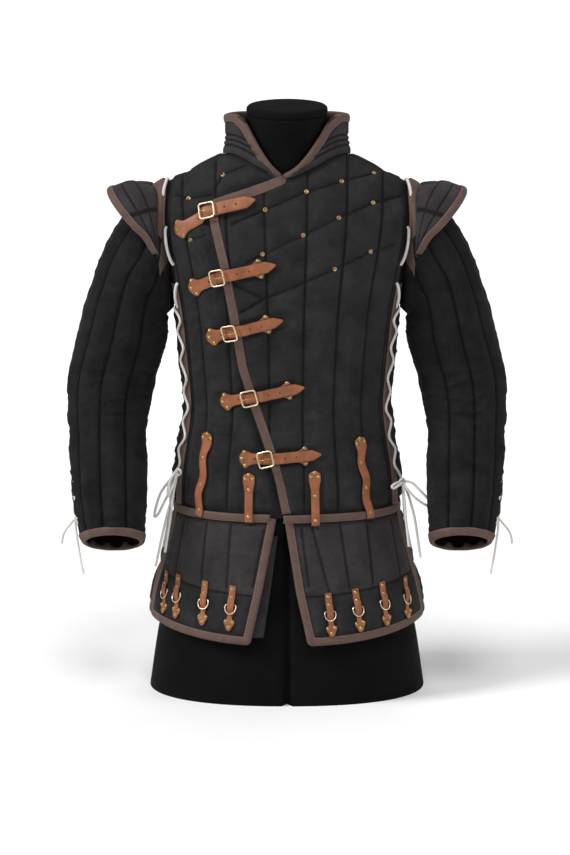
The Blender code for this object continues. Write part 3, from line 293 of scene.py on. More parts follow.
def mesh_object(name, points, faces, uv=None, numbers=None, looks=()):
    """Smooth object from points and faces, with a UV and a number for each point by name."""
    mesh = bpy.data.meshes.new(name)
    mesh.from_pydata(points.tolist(), [], faces)
    if uv is not None:
        corners = uv[[i for face in faces for i in face]]
        mesh.uv_layers.new(name="Cloth").data.foreach_set("uv", corners.astype(np.float32).ravel())
    for key, values in (numbers or {}).items():
        attribute = mesh.attributes.new(key, "FLOAT", "POINT")
        attribute.data.foreach_set("value", np.asarray(values, np.float32))
    for look in looks:
        mesh.materials.append(look)
    mesh.shade_smooth()
    return placed(name, mesh)


def make_mesh(name, points, faces, uv, numbers, looks, slots=None):
    """Object of quads that all point out; slots give each quad its material."""
    a, b, c, d = (points[faces[:, k]] for k in range(4))
    if np.einsum("ij,ij->", a, np.cross(b, c)) + np.einsum("ij,ij->", a, np.cross(c, d)) < 0:
        faces = faces[:, ::-1]
    obj = mesh_object(name, points, faces.tolist(), uv, numbers, looks)
    if slots is not None:
        obj.data.polygons.foreach_set("material_index", np.asarray(slots, np.int32))
    return obj


def mixed_mesh(name, points, faces, uv, numbers, looks):
    """As make_mesh, for faces of three and four corners together."""
    volume = 0.0
    for face in faces:
        a = points[face[0]]
        for b, c in zip(face[1:-1], face[2:]):
            volume += a @ np.cross(points[b], points[c])
    if volume < 0:
        faces = [face[::-1] for face in faces]
    return mesh_object(name, points, faces, uv, numbers, looks)


def grid_faces(rows, cols, ring):
    """Quads of a grid of points, row by row."""
    i, j = np.meshgrid(np.arange(rows - 1), np.arange(cols if ring else cols - 1), indexing="ij")
    k = (j + 1) % cols
    return np.stack((i * cols + j, i * cols + k, (i + 1) * cols + k, (i + 1) * cols + j), -1).reshape(-1, 4)


def rim_faces(line, back):
    """Quads between a line of point numbers and the same line on the other grid."""
    return np.stack((line[1:], line[:-1], line[:-1] + back, line[1:] + back), -1)


def shell(name, outer, inner, looks, ring=False, numbers=None, row_slots=None):
    """Closed wall between two grids; a ring closes on itself along its rows."""
    rows, cols = outer.shape[:2]
    back = rows * cols
    quads = grid_faces(rows, cols, ring)
    index = np.arange(back).reshape(rows, cols)
    end = [0] if ring else []
    rims = [rim_faces(np.append(index[0], index[0, end]), back),
            rim_faces(np.append(index[-1], index[-1, end])[::-1], back)]
    if not ring:
        rims += [rim_faces(index[::-1, 0], back), rim_faces(index[:, -1], back)]
    faces = np.vstack([quads, quads[:, ::-1] + back] + rims)
    points = np.concatenate((outer.reshape(-1, 3), inner.reshape(-1, 3)))
    across = np.cumsum(np.linalg.norm(np.diff(outer, axis=1, prepend=outer[:, :1]), axis=-1), axis=1)
    along = np.cumsum(np.linalg.norm(np.diff(outer, axis=0, prepend=outer[:1]), axis=-1), axis=0)
    uv = np.stack((across, along), -1).reshape(-1, 2)
    values = {key: np.concatenate((value.ravel(), value.ravel() * 0))
              for key, value in (numbers or {}).items()}
    slots = None
    if row_slots is not None:
        per_quad = np.repeat(row_slots[:-1], cols if ring else cols - 1)
        slots = np.concatenate((per_quad, per_quad))
        slots = np.concatenate((slots, np.full(len(faces) - len(slots), row_slots[0])))
    return make_mesh(name, points, faces, np.concatenate((uv, uv)), values, looks, slots)


def swept(name, rings, looks, closed=False, numbers=None):
    """A body through rings of points, its two ends closed by fans."""
    rings = np.asarray(rings, float)
    count, size = rings.shape[:2]
    points = rings.reshape(-1, 3)
    if closed:
        rings_again = np.concatenate((rings, rings[:1]))
        quads = grid_faces(count + 1, size, True) % (count * size)
    else:
        rings_again = rings
        quads = grid_faces(count, size, True)
        points = np.concatenate((points, rings[0].mean(0)[None], rings[-1].mean(0)[None]))
        ring = np.arange(size)
        hub, last = np.full(size, count * size), (count - 1) * size
        nxt = (ring + 1) % size
        quads = np.vstack((quads, np.stack((nxt, ring, hub, hub), -1),
                           np.stack((last + ring, last + nxt, hub + 1, hub + 1), -1)))
    along = np.cumsum(np.linalg.norm(np.diff(rings_again.mean(1), axis=0), axis=1))
    along = np.concatenate(([0.0], along))[:count]
    girth = np.linalg.norm(np.diff(rings, axis=1, prepend=rings[:, -1:]), axis=-1).cumsum(1)
    uv = np.stack((girth, np.repeat(along[:, None], size, 1)), -1).reshape(-1, 2)
    values = {key: np.asarray(value, float).ravel() for key, value in (numbers or {}).items()}
    spare = len(points) - len(uv)
    uv = np.concatenate((uv, np.zeros((spare, 2))))
    values = {key: np.concatenate((value, np.zeros(spare))) for key, value in values.items()}
    tris = quads[:, 2] == quads[:, 3]
    faces = [quad[:3].tolist() if flat else quad.tolist() for quad, flat in zip(quads, tris)]
    return mixed_mesh(name, points, faces, uv, values, looks)


def finish_piece(obj, nodes=(), body=GARMENT):
    """Seat a finished piece on its body and hide the model parts that it stands for."""
    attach(obj, body)
    if nodes:
        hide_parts(*nodes)
    return obj


# Materials

def map_range(nodes, links, value, low, high, start=0.0, stop=1.0):
    """Value mapped from low..high to start..stop."""
    made = nodes.new("ShaderNodeMapRange")
    links.new(value, made.inputs["Value"])
    for key, number in (("From Min", low), ("From Max", high), ("To Min", start), ("To Max", stop)):
        made.inputs[key].default_value = number
    return made.outputs["Result"]


def scaled(colour, factor):
    return tuple(min(c * factor, 1.0) for c in colour)


class Finish:
    """A material being made: its nodes, its two kinds of place and short ways to add more."""

    def __init__(self, name, colour, roughness, metallic=0.0):
        self.material = bpy.data.materials.new(name)
        self.material.use_nodes = True
        self.nodes, self.links = self.material.node_tree.nodes, self.material.node_tree.links
        self.shader = self.nodes["Principled BSDF"]
        self.tune({"Base Color": (*colour, 1), "Roughness": roughness, "Metallic": metallic})
        place = self.nodes.new("ShaderNodeTexCoord")
        self.spot, self.uv = place.outputs["Object"], place.outputs["UV"]

    def tune(self, sockets):
        """Give the shader's sockets plain values or links."""
        for key, value in sockets.items():
            if isinstance(value, bpy.types.NodeSocket):
                self.links.new(value, self.shader.inputs[key])
            else:
                self.shader.inputs[key].default_value = value

    def add(self, kind, vector=None, **values):
        """New node with its sockets or settings, fed by a vector."""
        made = self.nodes.new("ShaderNode" + kind)
        for key, value in values.items():
            if key in made.inputs:
                made.inputs[key].default_value = value
            else:
                setattr(made, key, value)
        if vector is not None:
            self.links.new(vector, made.inputs["Vector"])
        return made

    def number(self, name):
        return self.add("Attribute", attribute_name=name).outputs["Fac"]

    def noise(self, scale, detail=3.0, roughness=0.55):
        return self.add("TexNoise", self.spot, Scale=scale, Detail=detail, Roughness=roughness).outputs["Fac"]

    def ramp(self, value, low, high, start=0.0, stop=1.0):
        return map_range(self.nodes, self.links, value, low, high, start, stop)

    def mix(self, factor, first, second):
        """Colour between two colours or sockets."""
        made = self.add("Mix", data_type="RGBA")
        self.links.new(factor, made.inputs[0])
        for socket, value in ((made.inputs[6], first), (made.inputs[7], second)):
            if isinstance(value, bpy.types.NodeSocket):
                self.links.new(value, socket)
            else:
                socket.default_value = (*value, 1)
        return made.outputs[2]

    def bump(self, *heights):
        """Bumps one on the other: each is a height socket, a strength and a depth in metres."""
        normal = None
        for height, strength, depth in heights:
            made = self.add("Bump", Strength=strength, Distance=depth)
            self.links.new(height, made.inputs["Height"])
            if normal:
                self.links.new(normal, made.inputs["Normal"])
            normal = made.outputs["Normal"]
        self.links.new(normal, self.shader.inputs["Normal"])


def cloth(name, colour, weave, worn=1.45, twill=True, fuzz=0.25):
    """Woven cotton: twill or plain weave, mottled dye, paler worn threads, painted shade in the stitched dips
    and lint.
    """
    look = Finish(name, colour, 0.9)
    turned = look.add("Mapping", look.uv, Rotation=(0, 0, radians(52 if twill else 0))).outputs["Vector"]
    lines = look.add("TexWave", turned, Scale=weave, Distortion=1.2, Detail=2.0)
    lines.inputs["Detail Scale"].default_value = 3.0
    cross = look.add("TexWave", turned, Scale=weave * 0.8, Distortion=1.5, Detail=2.0, bands_direction="Y")
    thread = look.add("Math", operation="MULTIPLY_ADD")
    look.links.new(cross.outputs["Fac"], thread.inputs[0])
    thread.inputs[1].default_value = 0.35 if twill else 0.9
    look.links.new(lines.outputs["Fac"], thread.inputs[2])
    dye = look.ramp(look.noise(26, 5), 0.30, 0.72)
    low_thread = look.mix(dye, scaled(colour, 0.62), scaled(colour, 0.95))
    high_thread = look.mix(dye, scaled(colour, 0.78), scaled(colour, worn))
    tone = look.mix(look.ramp(thread.outputs[0], 0.1, 1.2), low_thread, high_thread)
    # Painted shade: the crest number darkens the stitched dips, and the cloth by bound edges, to a quarter of
    # the colour.
    tone = look.mix(look.ramp(look.number("crest"), 0.0, 0.62), scaled(colour, 0.25), tone)
    tone = look.mix(look.ramp(look.noise(900, 1), 0.80, 0.86), tone, scaled(colour, 3.2))
    look.tune({"Base Color": tone, "Roughness": look.ramp(look.noise(60, 4), 0, 1, 0.78, 0.97),
               "Sheen Weight": fuzz, "Sheen Roughness": 0.35, "Specular IOR Level": 0.05})
    look.bump((look.noise(34, 3), 0.8, 0.0065), (look.noise(120, 4), 0.8, 0.0022),
              (thread.outputs[0], 0.45, 0.0004))
    return look.material


def leather(name, colour, gloss=0.55, grain=900, edge=0.35, mottle=0.7):
    """Tanned hide: pores, cloudy dye and darker burnished edges."""
    look = Finish(name, colour, gloss)
    tone = look.mix(look.ramp(look.noise(55, 6, 0.6), 0.28, 0.75), scaled(colour, mottle),
                    scaled(colour, 1.35))
    tone = look.mix(look.ramp(look.noise(320, 4), 0.35, 0.75), tone, scaled(colour, 0.85))
    tone = look.mix(look.ramp(look.number("edge"), 0.35, 1.0), tone, scaled(colour, edge))
    look.tune({"Base Color": tone, "Specular IOR Level": 0.4,
               "Roughness": look.ramp(look.noise(140, 4), 0, 1, gloss - 0.12, gloss + 0.15)})
    pores = look.add("TexVoronoi", look.spot, Scale=grain)
    look.bump((look.noise(180, 5), 0.4, 0.0008), (pores.outputs["Distance"], 0.35, 0.0003))
    return look.material


def metal(name, colour, roughness):
    """Worn brass: dull brown film in patches, rubbed bright places and fine scratches."""
    look = Finish(name, colour, roughness, 1.0)
    film = look.ramp(look.noise(420, 5, 0.65), 0.40, 0.72)
    look.tune({"Base Color": look.mix(film, scaled(colour, 1.12), scaled(colour, 0.45)),
               "Roughness": look.ramp(film, 0, 1, roughness, roughness + 0.28)})
    look.bump((look.noise(1500, 3), 0.25, 0.0002))
    return look.material


def braided(name, colour):
    """Flat woven cotton lace: slanted strands, soft fuzz and painted shade greying the hollows between
    strands.
    """
    look = Finish(name, colour, 0.85)
    strands = look.add("TexWave", look.spot, Scale=420.0, Distortion=0.8, Detail=1.0,
                       bands_direction="DIAGONAL").outputs["Fac"]
    tone = look.mix(look.ramp(look.noise(90, 4), 0.3, 0.8), colour, scaled(colour, 0.72))
    # Painted shade: the hollows between strands are darkened to about half the colour.
    tone = look.mix(look.ramp(strands, 0.0, 0.5), scaled(colour, 0.55), tone)
    look.tune({"Base Color": tone, "Sheen Weight": 0.3})
    look.bump((strands, 0.6, 0.0005), (look.noise(700, 3), 0.4, 0.0004))
    return look.material


def jersey(name, colour):
    """Stretched black knit over the form, with fine ribs and a faint sheen."""
    look = Finish(name, colour, 0.8)
    ribs = look.add("TexWave", look.spot, Scale=300.0, Distortion=0.6, Detail=1.0).outputs["Fac"]
    tone = look.mix(look.ramp(look.noise(14, 4), 0.3, 0.7), scaled(colour, 0.8), scaled(colour, 1.3))
    look.tune({"Base Color": tone, "Sheen Weight": 0.01, "Specular IOR Level": 0.04})
    look.bump((ribs, 0.3, 0.0003), (look.noise(500, 3), 0.3, 0.0003))
    return look.material


def plain(name, colour, roughness, scale):
    """Thread, the dark discs painted for punched holes, and the floor: one colour with slight mottling."""
    look = Finish(name, colour, roughness)
    look.tune({"Base Color": look.mix(look.noise(scale, 4), scaled(colour, 0.92), scaled(colour, 1.06))})
    return look.material


LOOK = {}
STITCH_RUNS = []
STUDS = {"brass": [], "eyelet": [], "hole": []}


def make_looks(colours):
    """Every material, kept by its plain name."""
    LOOK.update(
        twill=cloth("Black twill", colours.twill, 620.0, worn=1.5, fuzz=0.02),
        # Painted shade: the sleeves get a copy of the black twill darkened to 0.55, standing in for the shade
        # they hang in.
        sleeve=cloth("Black sleeve twill", scaled(colours.twill, 0.55), 620.0, worn=1.7, fuzz=0.02),
        canvas=cloth("Grey canvas", colours.canvas, 520.0, worn=1.35, twill=False, fuzz=0.05),
        trim=leather("Brown binding", colours.trim, 0.72, 1300, 0.5, 0.72),
        tan=leather("Tan leather", colours.tan, 0.5, 950, 0.16, 0.48),
        brass=metal("Old brass", colours.brass, 0.28),
        gold=metal("Pale brass", colours.gold, 0.26),
        lace=braided("Cotton lace", colours.lace),
        form=jersey("Form jersey", colours.form),
        pale_thread=plain("Pale thread", (0.26, 0.20, 0.17), 0.8, 700),
        # Punched holes are dark discs on the strap: the dark is partly the black cloth under the hole and
        # partly painted shade inside it.
        hole=plain("Punched hole", (0.012, 0.007, 0.004), 0.9, 700),
    )


# Quilted cloth

def surface_line(spots, step=0.012):
    """Points on the front along a polyline of (x, z) spots."""
    spots = np.asarray(spots, float)
    gone = np.concatenate(([0.0], np.cumsum(np.linalg.norm(np.diff(spots, axis=0), axis=1))))
    at = np.linspace(0, gone[-1], max(2, int(gone[-1] / step) + 1))
    x, z = np.interp(at, gone, spots[:, 0]), np.interp(at, gone, spots[:, 1])
    return torso(*site(x, z), 0.001)


def riser(angle, low, high, rows=26):
    """Stitched line up the body at one angle."""
    return torso(np.full(rows, angle), np.linspace(low, high, rows), 0.001)


def nearest_line(points, lines, keep=0.045):
    """Distance of points to the nearest of several lines, where it is under keep."""
    shape = points.shape[:-1]
    flat, nearest = points.reshape(-1, 3), np.full(points[..., 0].size, 0.2)
    for line in lines:
        low, high = line.min(0) - keep, line.max(0) + keep
        close = np.all((flat > low) & (flat < high), axis=-1)
        nearest[close] = np.minimum(nearest[close], line_distance(flat[close], line))
    return nearest.reshape(shape)


def wrinkles(points, near_line, belly=0.0):
    """Heights from about -1 to 1.5 of slack cloth: broad slack, sharp folds across and fine puckers."""
    slack = 0.55 * soft_noise(points, (13, 13, 22), 1.3) + 0.30 * soft_noise(points, (34, 34, 62), 5.9)
    folds = (1 - np.abs(soft_noise(points, (9, 9, 40), 8.1))) ** 5
    fine = (1 - np.abs(soft_noise(points, (20, 20, 95), 2.7))) ** 3
    pucker = soft_noise(points, (55, 55, 170), 3.7) * np.exp(-near_line / 0.018)
    return slack + 0.8 * folds + (0.22 + belly) * fine + 0.42 * pucker - 0.35


def quilting(points, lines, sizes, edges=(), pressed=(), press_to=0.0032, press_half=0.0105):
    """Rise of the padding over its stitched lines and bound edges, with puckers and folds, flattened where
    leather presses on it; and how high each point stands from 0 in a stitched dip to 1 on a roll."""
    nearest = nearest_line(points, lines)
    rim = nearest_line(points, [np.concatenate((line[::5], line[-1:])) for line in edges])
    crease = 1 - np.exp(-(nearest / 0.0034) ** 2)
    pillow = 1 - np.exp(-(nearest / sizes.quilt_spread) ** 2)
    held = ease((rim - 0.009) / 0.012)
    belly = np.exp(-((points[..., 2] - 0.43) / 0.10) ** 2) * 0.8
    rise = sizes.quilt_depth * (0.40 * crease + 0.60 * pillow)
    rise = rise + sizes.wrinkle * wrinkles(points, nearest, belly) * (0.25 + 0.75 * pillow)
    if len(pressed):
        weight = 1 - ease((nearest_line(points, pressed) - press_half) / 0.010)
        rise = blend(rise, np.minimum(rise, press_to * (0.5 + 0.5 * pillow)), weight)
    # The second value masks the painted shade of the cloth: low in the stitched dips and where a bound edge
    # holds the padding flat.
    return np.maximum(rise * held, 0.0) + 0.0002, np.minimum(crease, 0.35 + 0.65 * held)


def leather_runs(side):
    """Lines of the straps, waist tabs and side strips that press on the cloth."""
    runs = [surface_line(((row.leaf_x, row.leaf_z), (row.buckle_x, row.buckle_z), (row.tip_x, row.tip_z)))
            for row in STRAPS]
    runs += [surface_line(((row.top_x, row.top_z), (row.low_x, row.low_z))) for row in TABS]
    return runs + [riser(side * SIDE_STRIP_ANGLE, WAIST, CHEST + 0.05)]


BODY_LEVELS = np.array((WAIST, 0.350, 0.400, 0.450, 0.500, 0.555, 0.610, CHEST))
ARM_FALL, ARM_BULGE = 20.0, 13.0
SIDE_GAP, SHOULDER_GAP = 0.05, 0.0006
BACK_NECK, FRONT_NECK, FRONT_SAG = 0.871, 0.8405, 0.030
UNDER_LAP = 0.012
OVER_TILT, UNDER_TILT = 0.052, 0.03
UNDER_LIMIT = np.array(((0.0, -0.076), (0.25, -0.093), (0.5, -0.112), (0.7, -0.075), (0.85, -0.045),
                        (1.0, -0.0075)))


def arm_share(t):
    """Share of the armhole's height at a step from 0 to 1 up it."""
    return (1 - np.cos(pi * np.asarray(t, float))) / 2


def arm_angle(share):
    bulge = np.maximum(0.0, 1 - (2 * share - 1) ** 2) ** 0.5
    return 90 - SIDE_GAP - ARM_FALL * share - ARM_BULGE * bulge


def neck_level(x, low):
    share = np.minimum(np.abs(x) / NECK_HALF, 1)
    return low + (SHOULDER - SHOULDER_GAP - low) * (0.35 * share + 0.65 * share ** 2.4)


def nape_level(x):
    share = np.minimum(np.abs(x) / NECK_HALF, 1)
    deep = cos((BACK_NECK - ARCH_START) / ARCH_RUN * pi / 2)
    level = ARCH_START + ARCH_RUN * np.arccos(deep * (1 - share * share) ** 0.5) / (pi / 2)
    return np.minimum(level, SHOULDER - SHOULDER_GAP)


def over_top(x):
    """Level of the over-front's top edge: the V, then the neckline, then the shoulder seam."""
    corner = CLOSING_EDGE[-1]
    v_height = blend(corner[1], V_POINT[1], (x - corner[0]) / (V_POINT[0] - corner[0]))
    neck = neck_level(x, float(site(*V_POINT)[1]))
    return np.where(x < V_POINT[0], site(x, np.minimum(v_height, 0.888))[1], neck)


def panel_sites(kind, low_rows, high_rows, columns):
    """Angles and levels of a front panel's points, its low part first and then the part by the armhole."""
    angles, levels = [], []
    below = np.linspace(0, 1, low_rows, endpoint=False)
    steps = [(f, None) for f in below] + [(1.0, s) for s in arm_share(np.linspace(0, 1, high_rows))]
    across = np.linspace(0, 1, columns)
    for f, share in steps:
        low_level = np.interp(f * 7, np.arange(8), BODY_LEVELS)
        side = 90 - SIDE_GAP if share is None else float(arm_angle(share))
        if kind == "over":
            bend_z = CHEST - OVER_TILT
            z = blend(WAIST - 0.002, bend_z, f)
            if share is not None:
                z = blend(bend_z, CLOSING_EDGE[-1][1], share)
            left = float(site(edge_x(z), z)[0])
            angle = blend(left, side, across)
            fall, tilt = 1 - across, OVER_TILT * (1 - across) * f
            top = over_top(base(angle, 0.8)[..., 0])
            sag = 1.0
        else:
            z = blend(WAIST, CHEST - 0.04, f)
            limit = float(edge_x(z)) + UNDER_LAP if share is None else float(np.interp(share, *UNDER_LIMIT.T))
            inner = float(site(limit, z if share is None else 0.8)[0])
            angle = blend(-side, inner, across)
            fall, tilt = across, UNDER_TILT * across * f
            top = neck_level(base(angle, 0.8)[..., 0], FRONT_NECK)
            sag = 0.5
        if share is None:
            level = low_level - tilt
        else:
            level = blend(CHEST - tilt, top, share) - FRONT_SAG * 4 * share * (1 - share) * sag * fall
        angles.append(angle)
        levels.append(level)
    return np.array(angles), np.array(levels)


OVER_RISERS = (-24.0, -7.5, 6.5, 23.5, 43.0, 63.0)
UNDER_RISERS = (-64.0, -49.0, -29.0)
BACK_RISERS = (112.0, 135.0, 157.5, 180.0, 202.5, 225.0, 248.0)
OVER_DIAGONALS = (
    ((0.1506, 0.8861), (0.0942, 0.8796), (0.0333, 0.866), (-0.0374, 0.8376), (-0.094, 0.8130)),
    ((0.1977, 0.8487), (0.1485, 0.8432), (0.089, 0.8237), (0.0277, 0.7979), (-0.0422, 0.7671),
     (-0.0700, 0.752)),
    ((0.1856, 0.7727), (0.1441, 0.7668), (0.0823, 0.7416), (0.0216, 0.7177), (-0.0399, 0.6929),
     (-0.0782, 0.6704)),
    ((-0.0399, 0.6929), (-0.0950, 0.7190)),
)
UNDER_DIAGONALS = (
    ((-0.0700, 0.9050), (-0.1107, 0.8877), (-0.1250, 0.8650)),
    ((-0.1900, 0.8500), (-0.1700, 0.8475), (-0.1300, 0.8560)),
    ((-0.1960, 0.7950), (-0.1664, 0.7826), (-0.1420, 0.7930)),
)


def front_panels(sizes):
    """Over-front and under-front, quilted."""
    angle, level = panel_sites("over", 105, 115, 126)
    rise_of_lap = lap(angle, level)
    points = torso(angle, level)
    lines = [riser(a, WAIST, 0.93) for a in OVER_RISERS] + [surface_line(spots) for spots in OVER_DIAGONALS]
    outline = [points[0], points[-1], points[:, 0], points[:, -1]]
    rise, crest = quilting(points, lines, sizes, outline, leather_runs(1))
    obj = shell("front_over_cloth", torso(angle, level, rise_of_lap + rise),
                torso(angle, level, rise_of_lap - WALL),
                (LOOK["twill"],), numbers={"crest": crest})
    finish_piece(obj, ["front_over"])
    angle, level = panel_sites("under", 105, 115, 100)
    points = torso(angle, level)
    lines = [riser(a, WAIST, 0.93) for a in UNDER_RISERS] + [surface_line(spots) for spots in UNDER_DIAGONALS]
    spot = base(angle, level)
    gap = edge_distance(spot[..., 0], spot[..., 2])
    corner = CLOSING_EDGE[-1]
    v_height = blend(corner[1], V_POINT[1], (spot[..., 0] - corner[0]) / (V_POINT[0] - corner[0]))
    covered = (spot[..., 0] > edge_x(spot[..., 2])) & (spot[..., 2] < v_height)
    rise, crest = quilting(points, lines, sizes, [points[0], points[-1], points[:, 0]], leather_runs(-1))
    rise = np.where(covered, -0.0026 * ease(gap / (0.6 * UNDER_LAP)), rise * ease(gap / 0.018))
    obj = shell("front_under_cloth", torso(angle, level, rise), torso(angle, level, -WALL),
                (LOOK["twill"],), numbers={"crest": crest})
    finish_piece(obj, ["front_under"])


def back_panel(sizes):
    """Back, quilted in risers and shallow V rows."""
    low_rows, high_rows, columns = 92, 100, 196
    steps = [(f, None) for f in np.linspace(0, 1, low_rows, endpoint=False)]
    steps += [(1.0, s) for s in arm_share(np.linspace(0, 1, high_rows))]
    angles, levels = [], []
    for f, share in steps:
        edge = 90 + SIDE_GAP if share is None else 180 - float(arm_angle(share))
        angle = np.linspace(edge, 360 - edge, columns)
        if share is None:
            level = np.full(columns, np.interp(f * 7, np.arange(8), BODY_LEVELS))
        else:
            level = blend(CHEST, nape_level(base(angle, 0.8)[..., 0]), share)
        angles.append(angle)
        levels.append(level)
    angle, level = np.array(angles), np.array(levels)
    points = torso(angle, level)
    lines = [riser(a, WAIST, 0.945) for a in BACK_RISERS]
    for low, high in ((0.44, 0.47), (0.57, 0.60), (0.69, 0.73), (0.80, 0.85)):
        turns = np.concatenate((np.linspace(92, 180, 30), np.linspace(180, 268, 30)[1:]))
        lines.append(torso(turns, high - (high - low) * (1 - np.abs(turns - 180) / 88), 0.001))
    outline = [points[0], points[-1], points[:, 0], points[:, -1]]
    rise, crest = quilting(points, lines, sizes, outline)
    obj = shell("back_cloth", torso(angle, level, rise), torso(angle, level, -WALL), (LOOK["twill"],),
                numbers={"crest": crest})
    finish_piece(obj, ["back"])


# Collar

COLLAR_HEIGHT, COLLAR_WALL, LIFT = 0.060, 0.005, CREST + 0.0013
COLLAR_SEAMS = (0.009, 0.0175, 0.026)


def neck_site(turn, grow=0.0):
    side, ahead = np.sin(np.radians(turn)), np.cos(np.radians(turn))
    x = NECK_HALF * side
    level = np.where(ahead > 0, neck_level(x, FRONT_NECK), nape_level(x)) - grow * np.abs(ahead)
    lean = ((NECK_HALF + grow) * np.abs(side) / BODY[-1].half_width) ** (SQUARENESS / 2)
    angle = np.degrees(np.arcsin(lean))
    angle = np.where(ahead > 0, angle, 180 - angle)
    return np.where(side >= 0, angle, -angle), level


def collar_grids(heights, columns):
    """Outer and inner points of the collar and how high each outer one stands on its roll."""
    outer, inner, crests = [], [], []
    for height in heights:
        share = (height / COLLAR_HEIGHT) ** 0.65
        first, last = -2.5 + 49.5 * share, 355 - 42 * share
        turn = np.linspace(first, last, columns)
        near, far = neck_site(turn), neck_site(turn, COLLAR_WALL)
        rise = blend(0.0010, LIFT, ease(height / 0.006)) + lap(*near) * (turn < 180)
        drawn_in = np.array((1 - 0.032 * float(ease(height / 0.025)), 1, 1))
        p_in, p_out = torso(*near, rise) * drawn_in, torso(*far, rise) * drawn_in
        away = unit((p_out - p_in) * np.array((1, 1, 0)))
        up = ease(height / 0.008)
        top = np.stack((p_out[..., 0], p_out[..., 1], p_in[..., 2] + height), axis=-1)
        p_out = blend(p_out, top, up)
        nearest = min(abs(height - seam) for seam in COLLAR_SEAMS)
        roll = 1 - np.exp(-(nearest / 0.0028) ** 2)
        upper = height > COLLAR_SEAMS[-1]
        slant = np.abs(((turn / 26.0 + height * 14) % 1) - 0.5) * 0.24
        dimple = np.exp(-(slant / 0.012) ** 2) if upper else 0.0 * turn
        at_edge = ease(np.minimum(turn - first, last - turn) / 6)
        slack = soft_noise(p_in, (60, 60, 90), 2.2) * 0.0006
        puffed = (0.0018 if upper else 0.0026) * roll - 0.0009 * dimple + slack
        p_out = p_out + away * (puffed * at_edge)[:, None]
        outer.append(p_out)
        inner.append(p_in + np.array((0, 0, height)))
        # The crest numbers paint shade into the canvas at the collar's seams and dimples.
        crests.append(np.minimum(roll, 1 - 0.75 * dimple))
    return np.array(outer), np.array(inner), np.array(crests)


def make_collar():
    """Standing collar with its bound edge."""
    outer, inner, crest = collar_grids(np.linspace(0, COLLAR_HEIGHT, 40), 200)
    obj = shell("collar_cloth", outer, inner, (LOOK["canvas"],), numbers={"crest": crest})
    finish_piece(obj, ["collar"])
    top, last = len(outer) - 1, outer.shape[1] - 1
    left = [(i, 0, 0, 1) for i in range(0, top - 4)]
    over = [(top, j, -1, 0) for j in range(4, last - 3)]
    right = [(i, last, 0, -1) for i in range(top - 5, -1, -1)]
    path = left + over + right
    stations = []
    for i, j, di, dj in path:
        p_out, p_in = outer[i, j], inner[i, j]
        step_out, step_in = outer[i + di * 6, j + dj * 6], inner[i + di * 6, j + dj * 6]
        into = unit((step_out - p_out) + (step_in - p_in))
        stations.append((p_out, p_in, into))
    obj = folded_binding("collar_bound_edge", stations, 0.0122, smooth=9)
    finish_piece(obj, ["collar_binding"])


def smoothed(values, reach, closed=False):
    """Values averaged along the first axis, its ends kept."""
    values = np.asarray(values, float)
    for _ in range(reach):
        if closed:
            values = (np.roll(values, 1, 0) + 2 * values + np.roll(values, -1, 0)) / 4
        else:
            inner = (values[:-2] + 2 * values[1:-1] + values[2:]) / 4
            values = np.concatenate((values[:1], inner, values[-1:]))
    return values


def folded_binding(name, stations, width, smooth=3, closed=False):
    """Soft leather folded over an edge, from each station's outer edge, inner edge and way into the cloth."""
    p_out, p_in, into = (smoothed([s[k] for s in stations], smooth, closed) for k in range(3))
    along = unit(np.roll(p_out, -1, 0) - np.roll(p_out, 1, 0)) if closed else unit(np.gradient(p_out, axis=0))
    into = unit(into)
    into = unit(into - 0.85 * along * np.sum(into * along, -1, keepdims=True))
    edge = unit(p_out - p_in)
    half = np.linalg.norm(p_out - p_in, axis=-1)[:, None] / 2
    middle = (p_out + p_in) / 2
    profile = [(width, half + 0.0004), (width, half + 0.0016), (width * 0.86, half + 0.0019),
               (width * 0.5, half + 0.0027), (width * 0.14, half + 0.0024), (-0.0008, half + 0.0010),
               (-0.0019, half * 0.35), (-0.0019, -half * 0.35), (-0.0008, -half - 0.0008),
               (width * 0.14, -half - 0.0018), (width * 0.86, -half - 0.0016), (width, -half - 0.0003)]
    rings = np.stack([middle + into * s + edge * o for s, o in profile], axis=1)
    ripple = soft_noise(rings, (150, 150, 150), 4.4) * 0.0003
    rings = rings + edge[:, None] * ripple[..., None]
    edges = np.zeros(rings.shape[:2])
    edges[:, [0, 1, 11]] = 1.0
    STITCH_RUNS.append((rings[:, 2] + edge * 0.0001, closed))
    return swept(name, rings, (LOOK["trim"],), closed, {"edge": edges})


# Strips on the torso

def along_line(spots, step):
    """Spots along a polyline at even steps, and the distance gone at each."""
    spots = np.asarray(spots, float)
    gone = np.concatenate(([0.0], np.cumsum(np.linalg.norm(np.diff(spots, axis=0), axis=1))))
    at = np.linspace(0, gone[-1], max(2, round(gone[-1] / step) + 1))
    return np.stack((np.interp(at, gone, spots[:, 0]), np.interp(at, gone, spots[:, 1])), -1), at


def beside(line, distance):
    """The same line moved to its left, seen from the front."""
    way = unit(np.gradient(line, axis=0))
    return line + np.stack((-way[:, 1], way[:, 0]), -1) * np.asarray(distance, float).reshape(-1, 1)


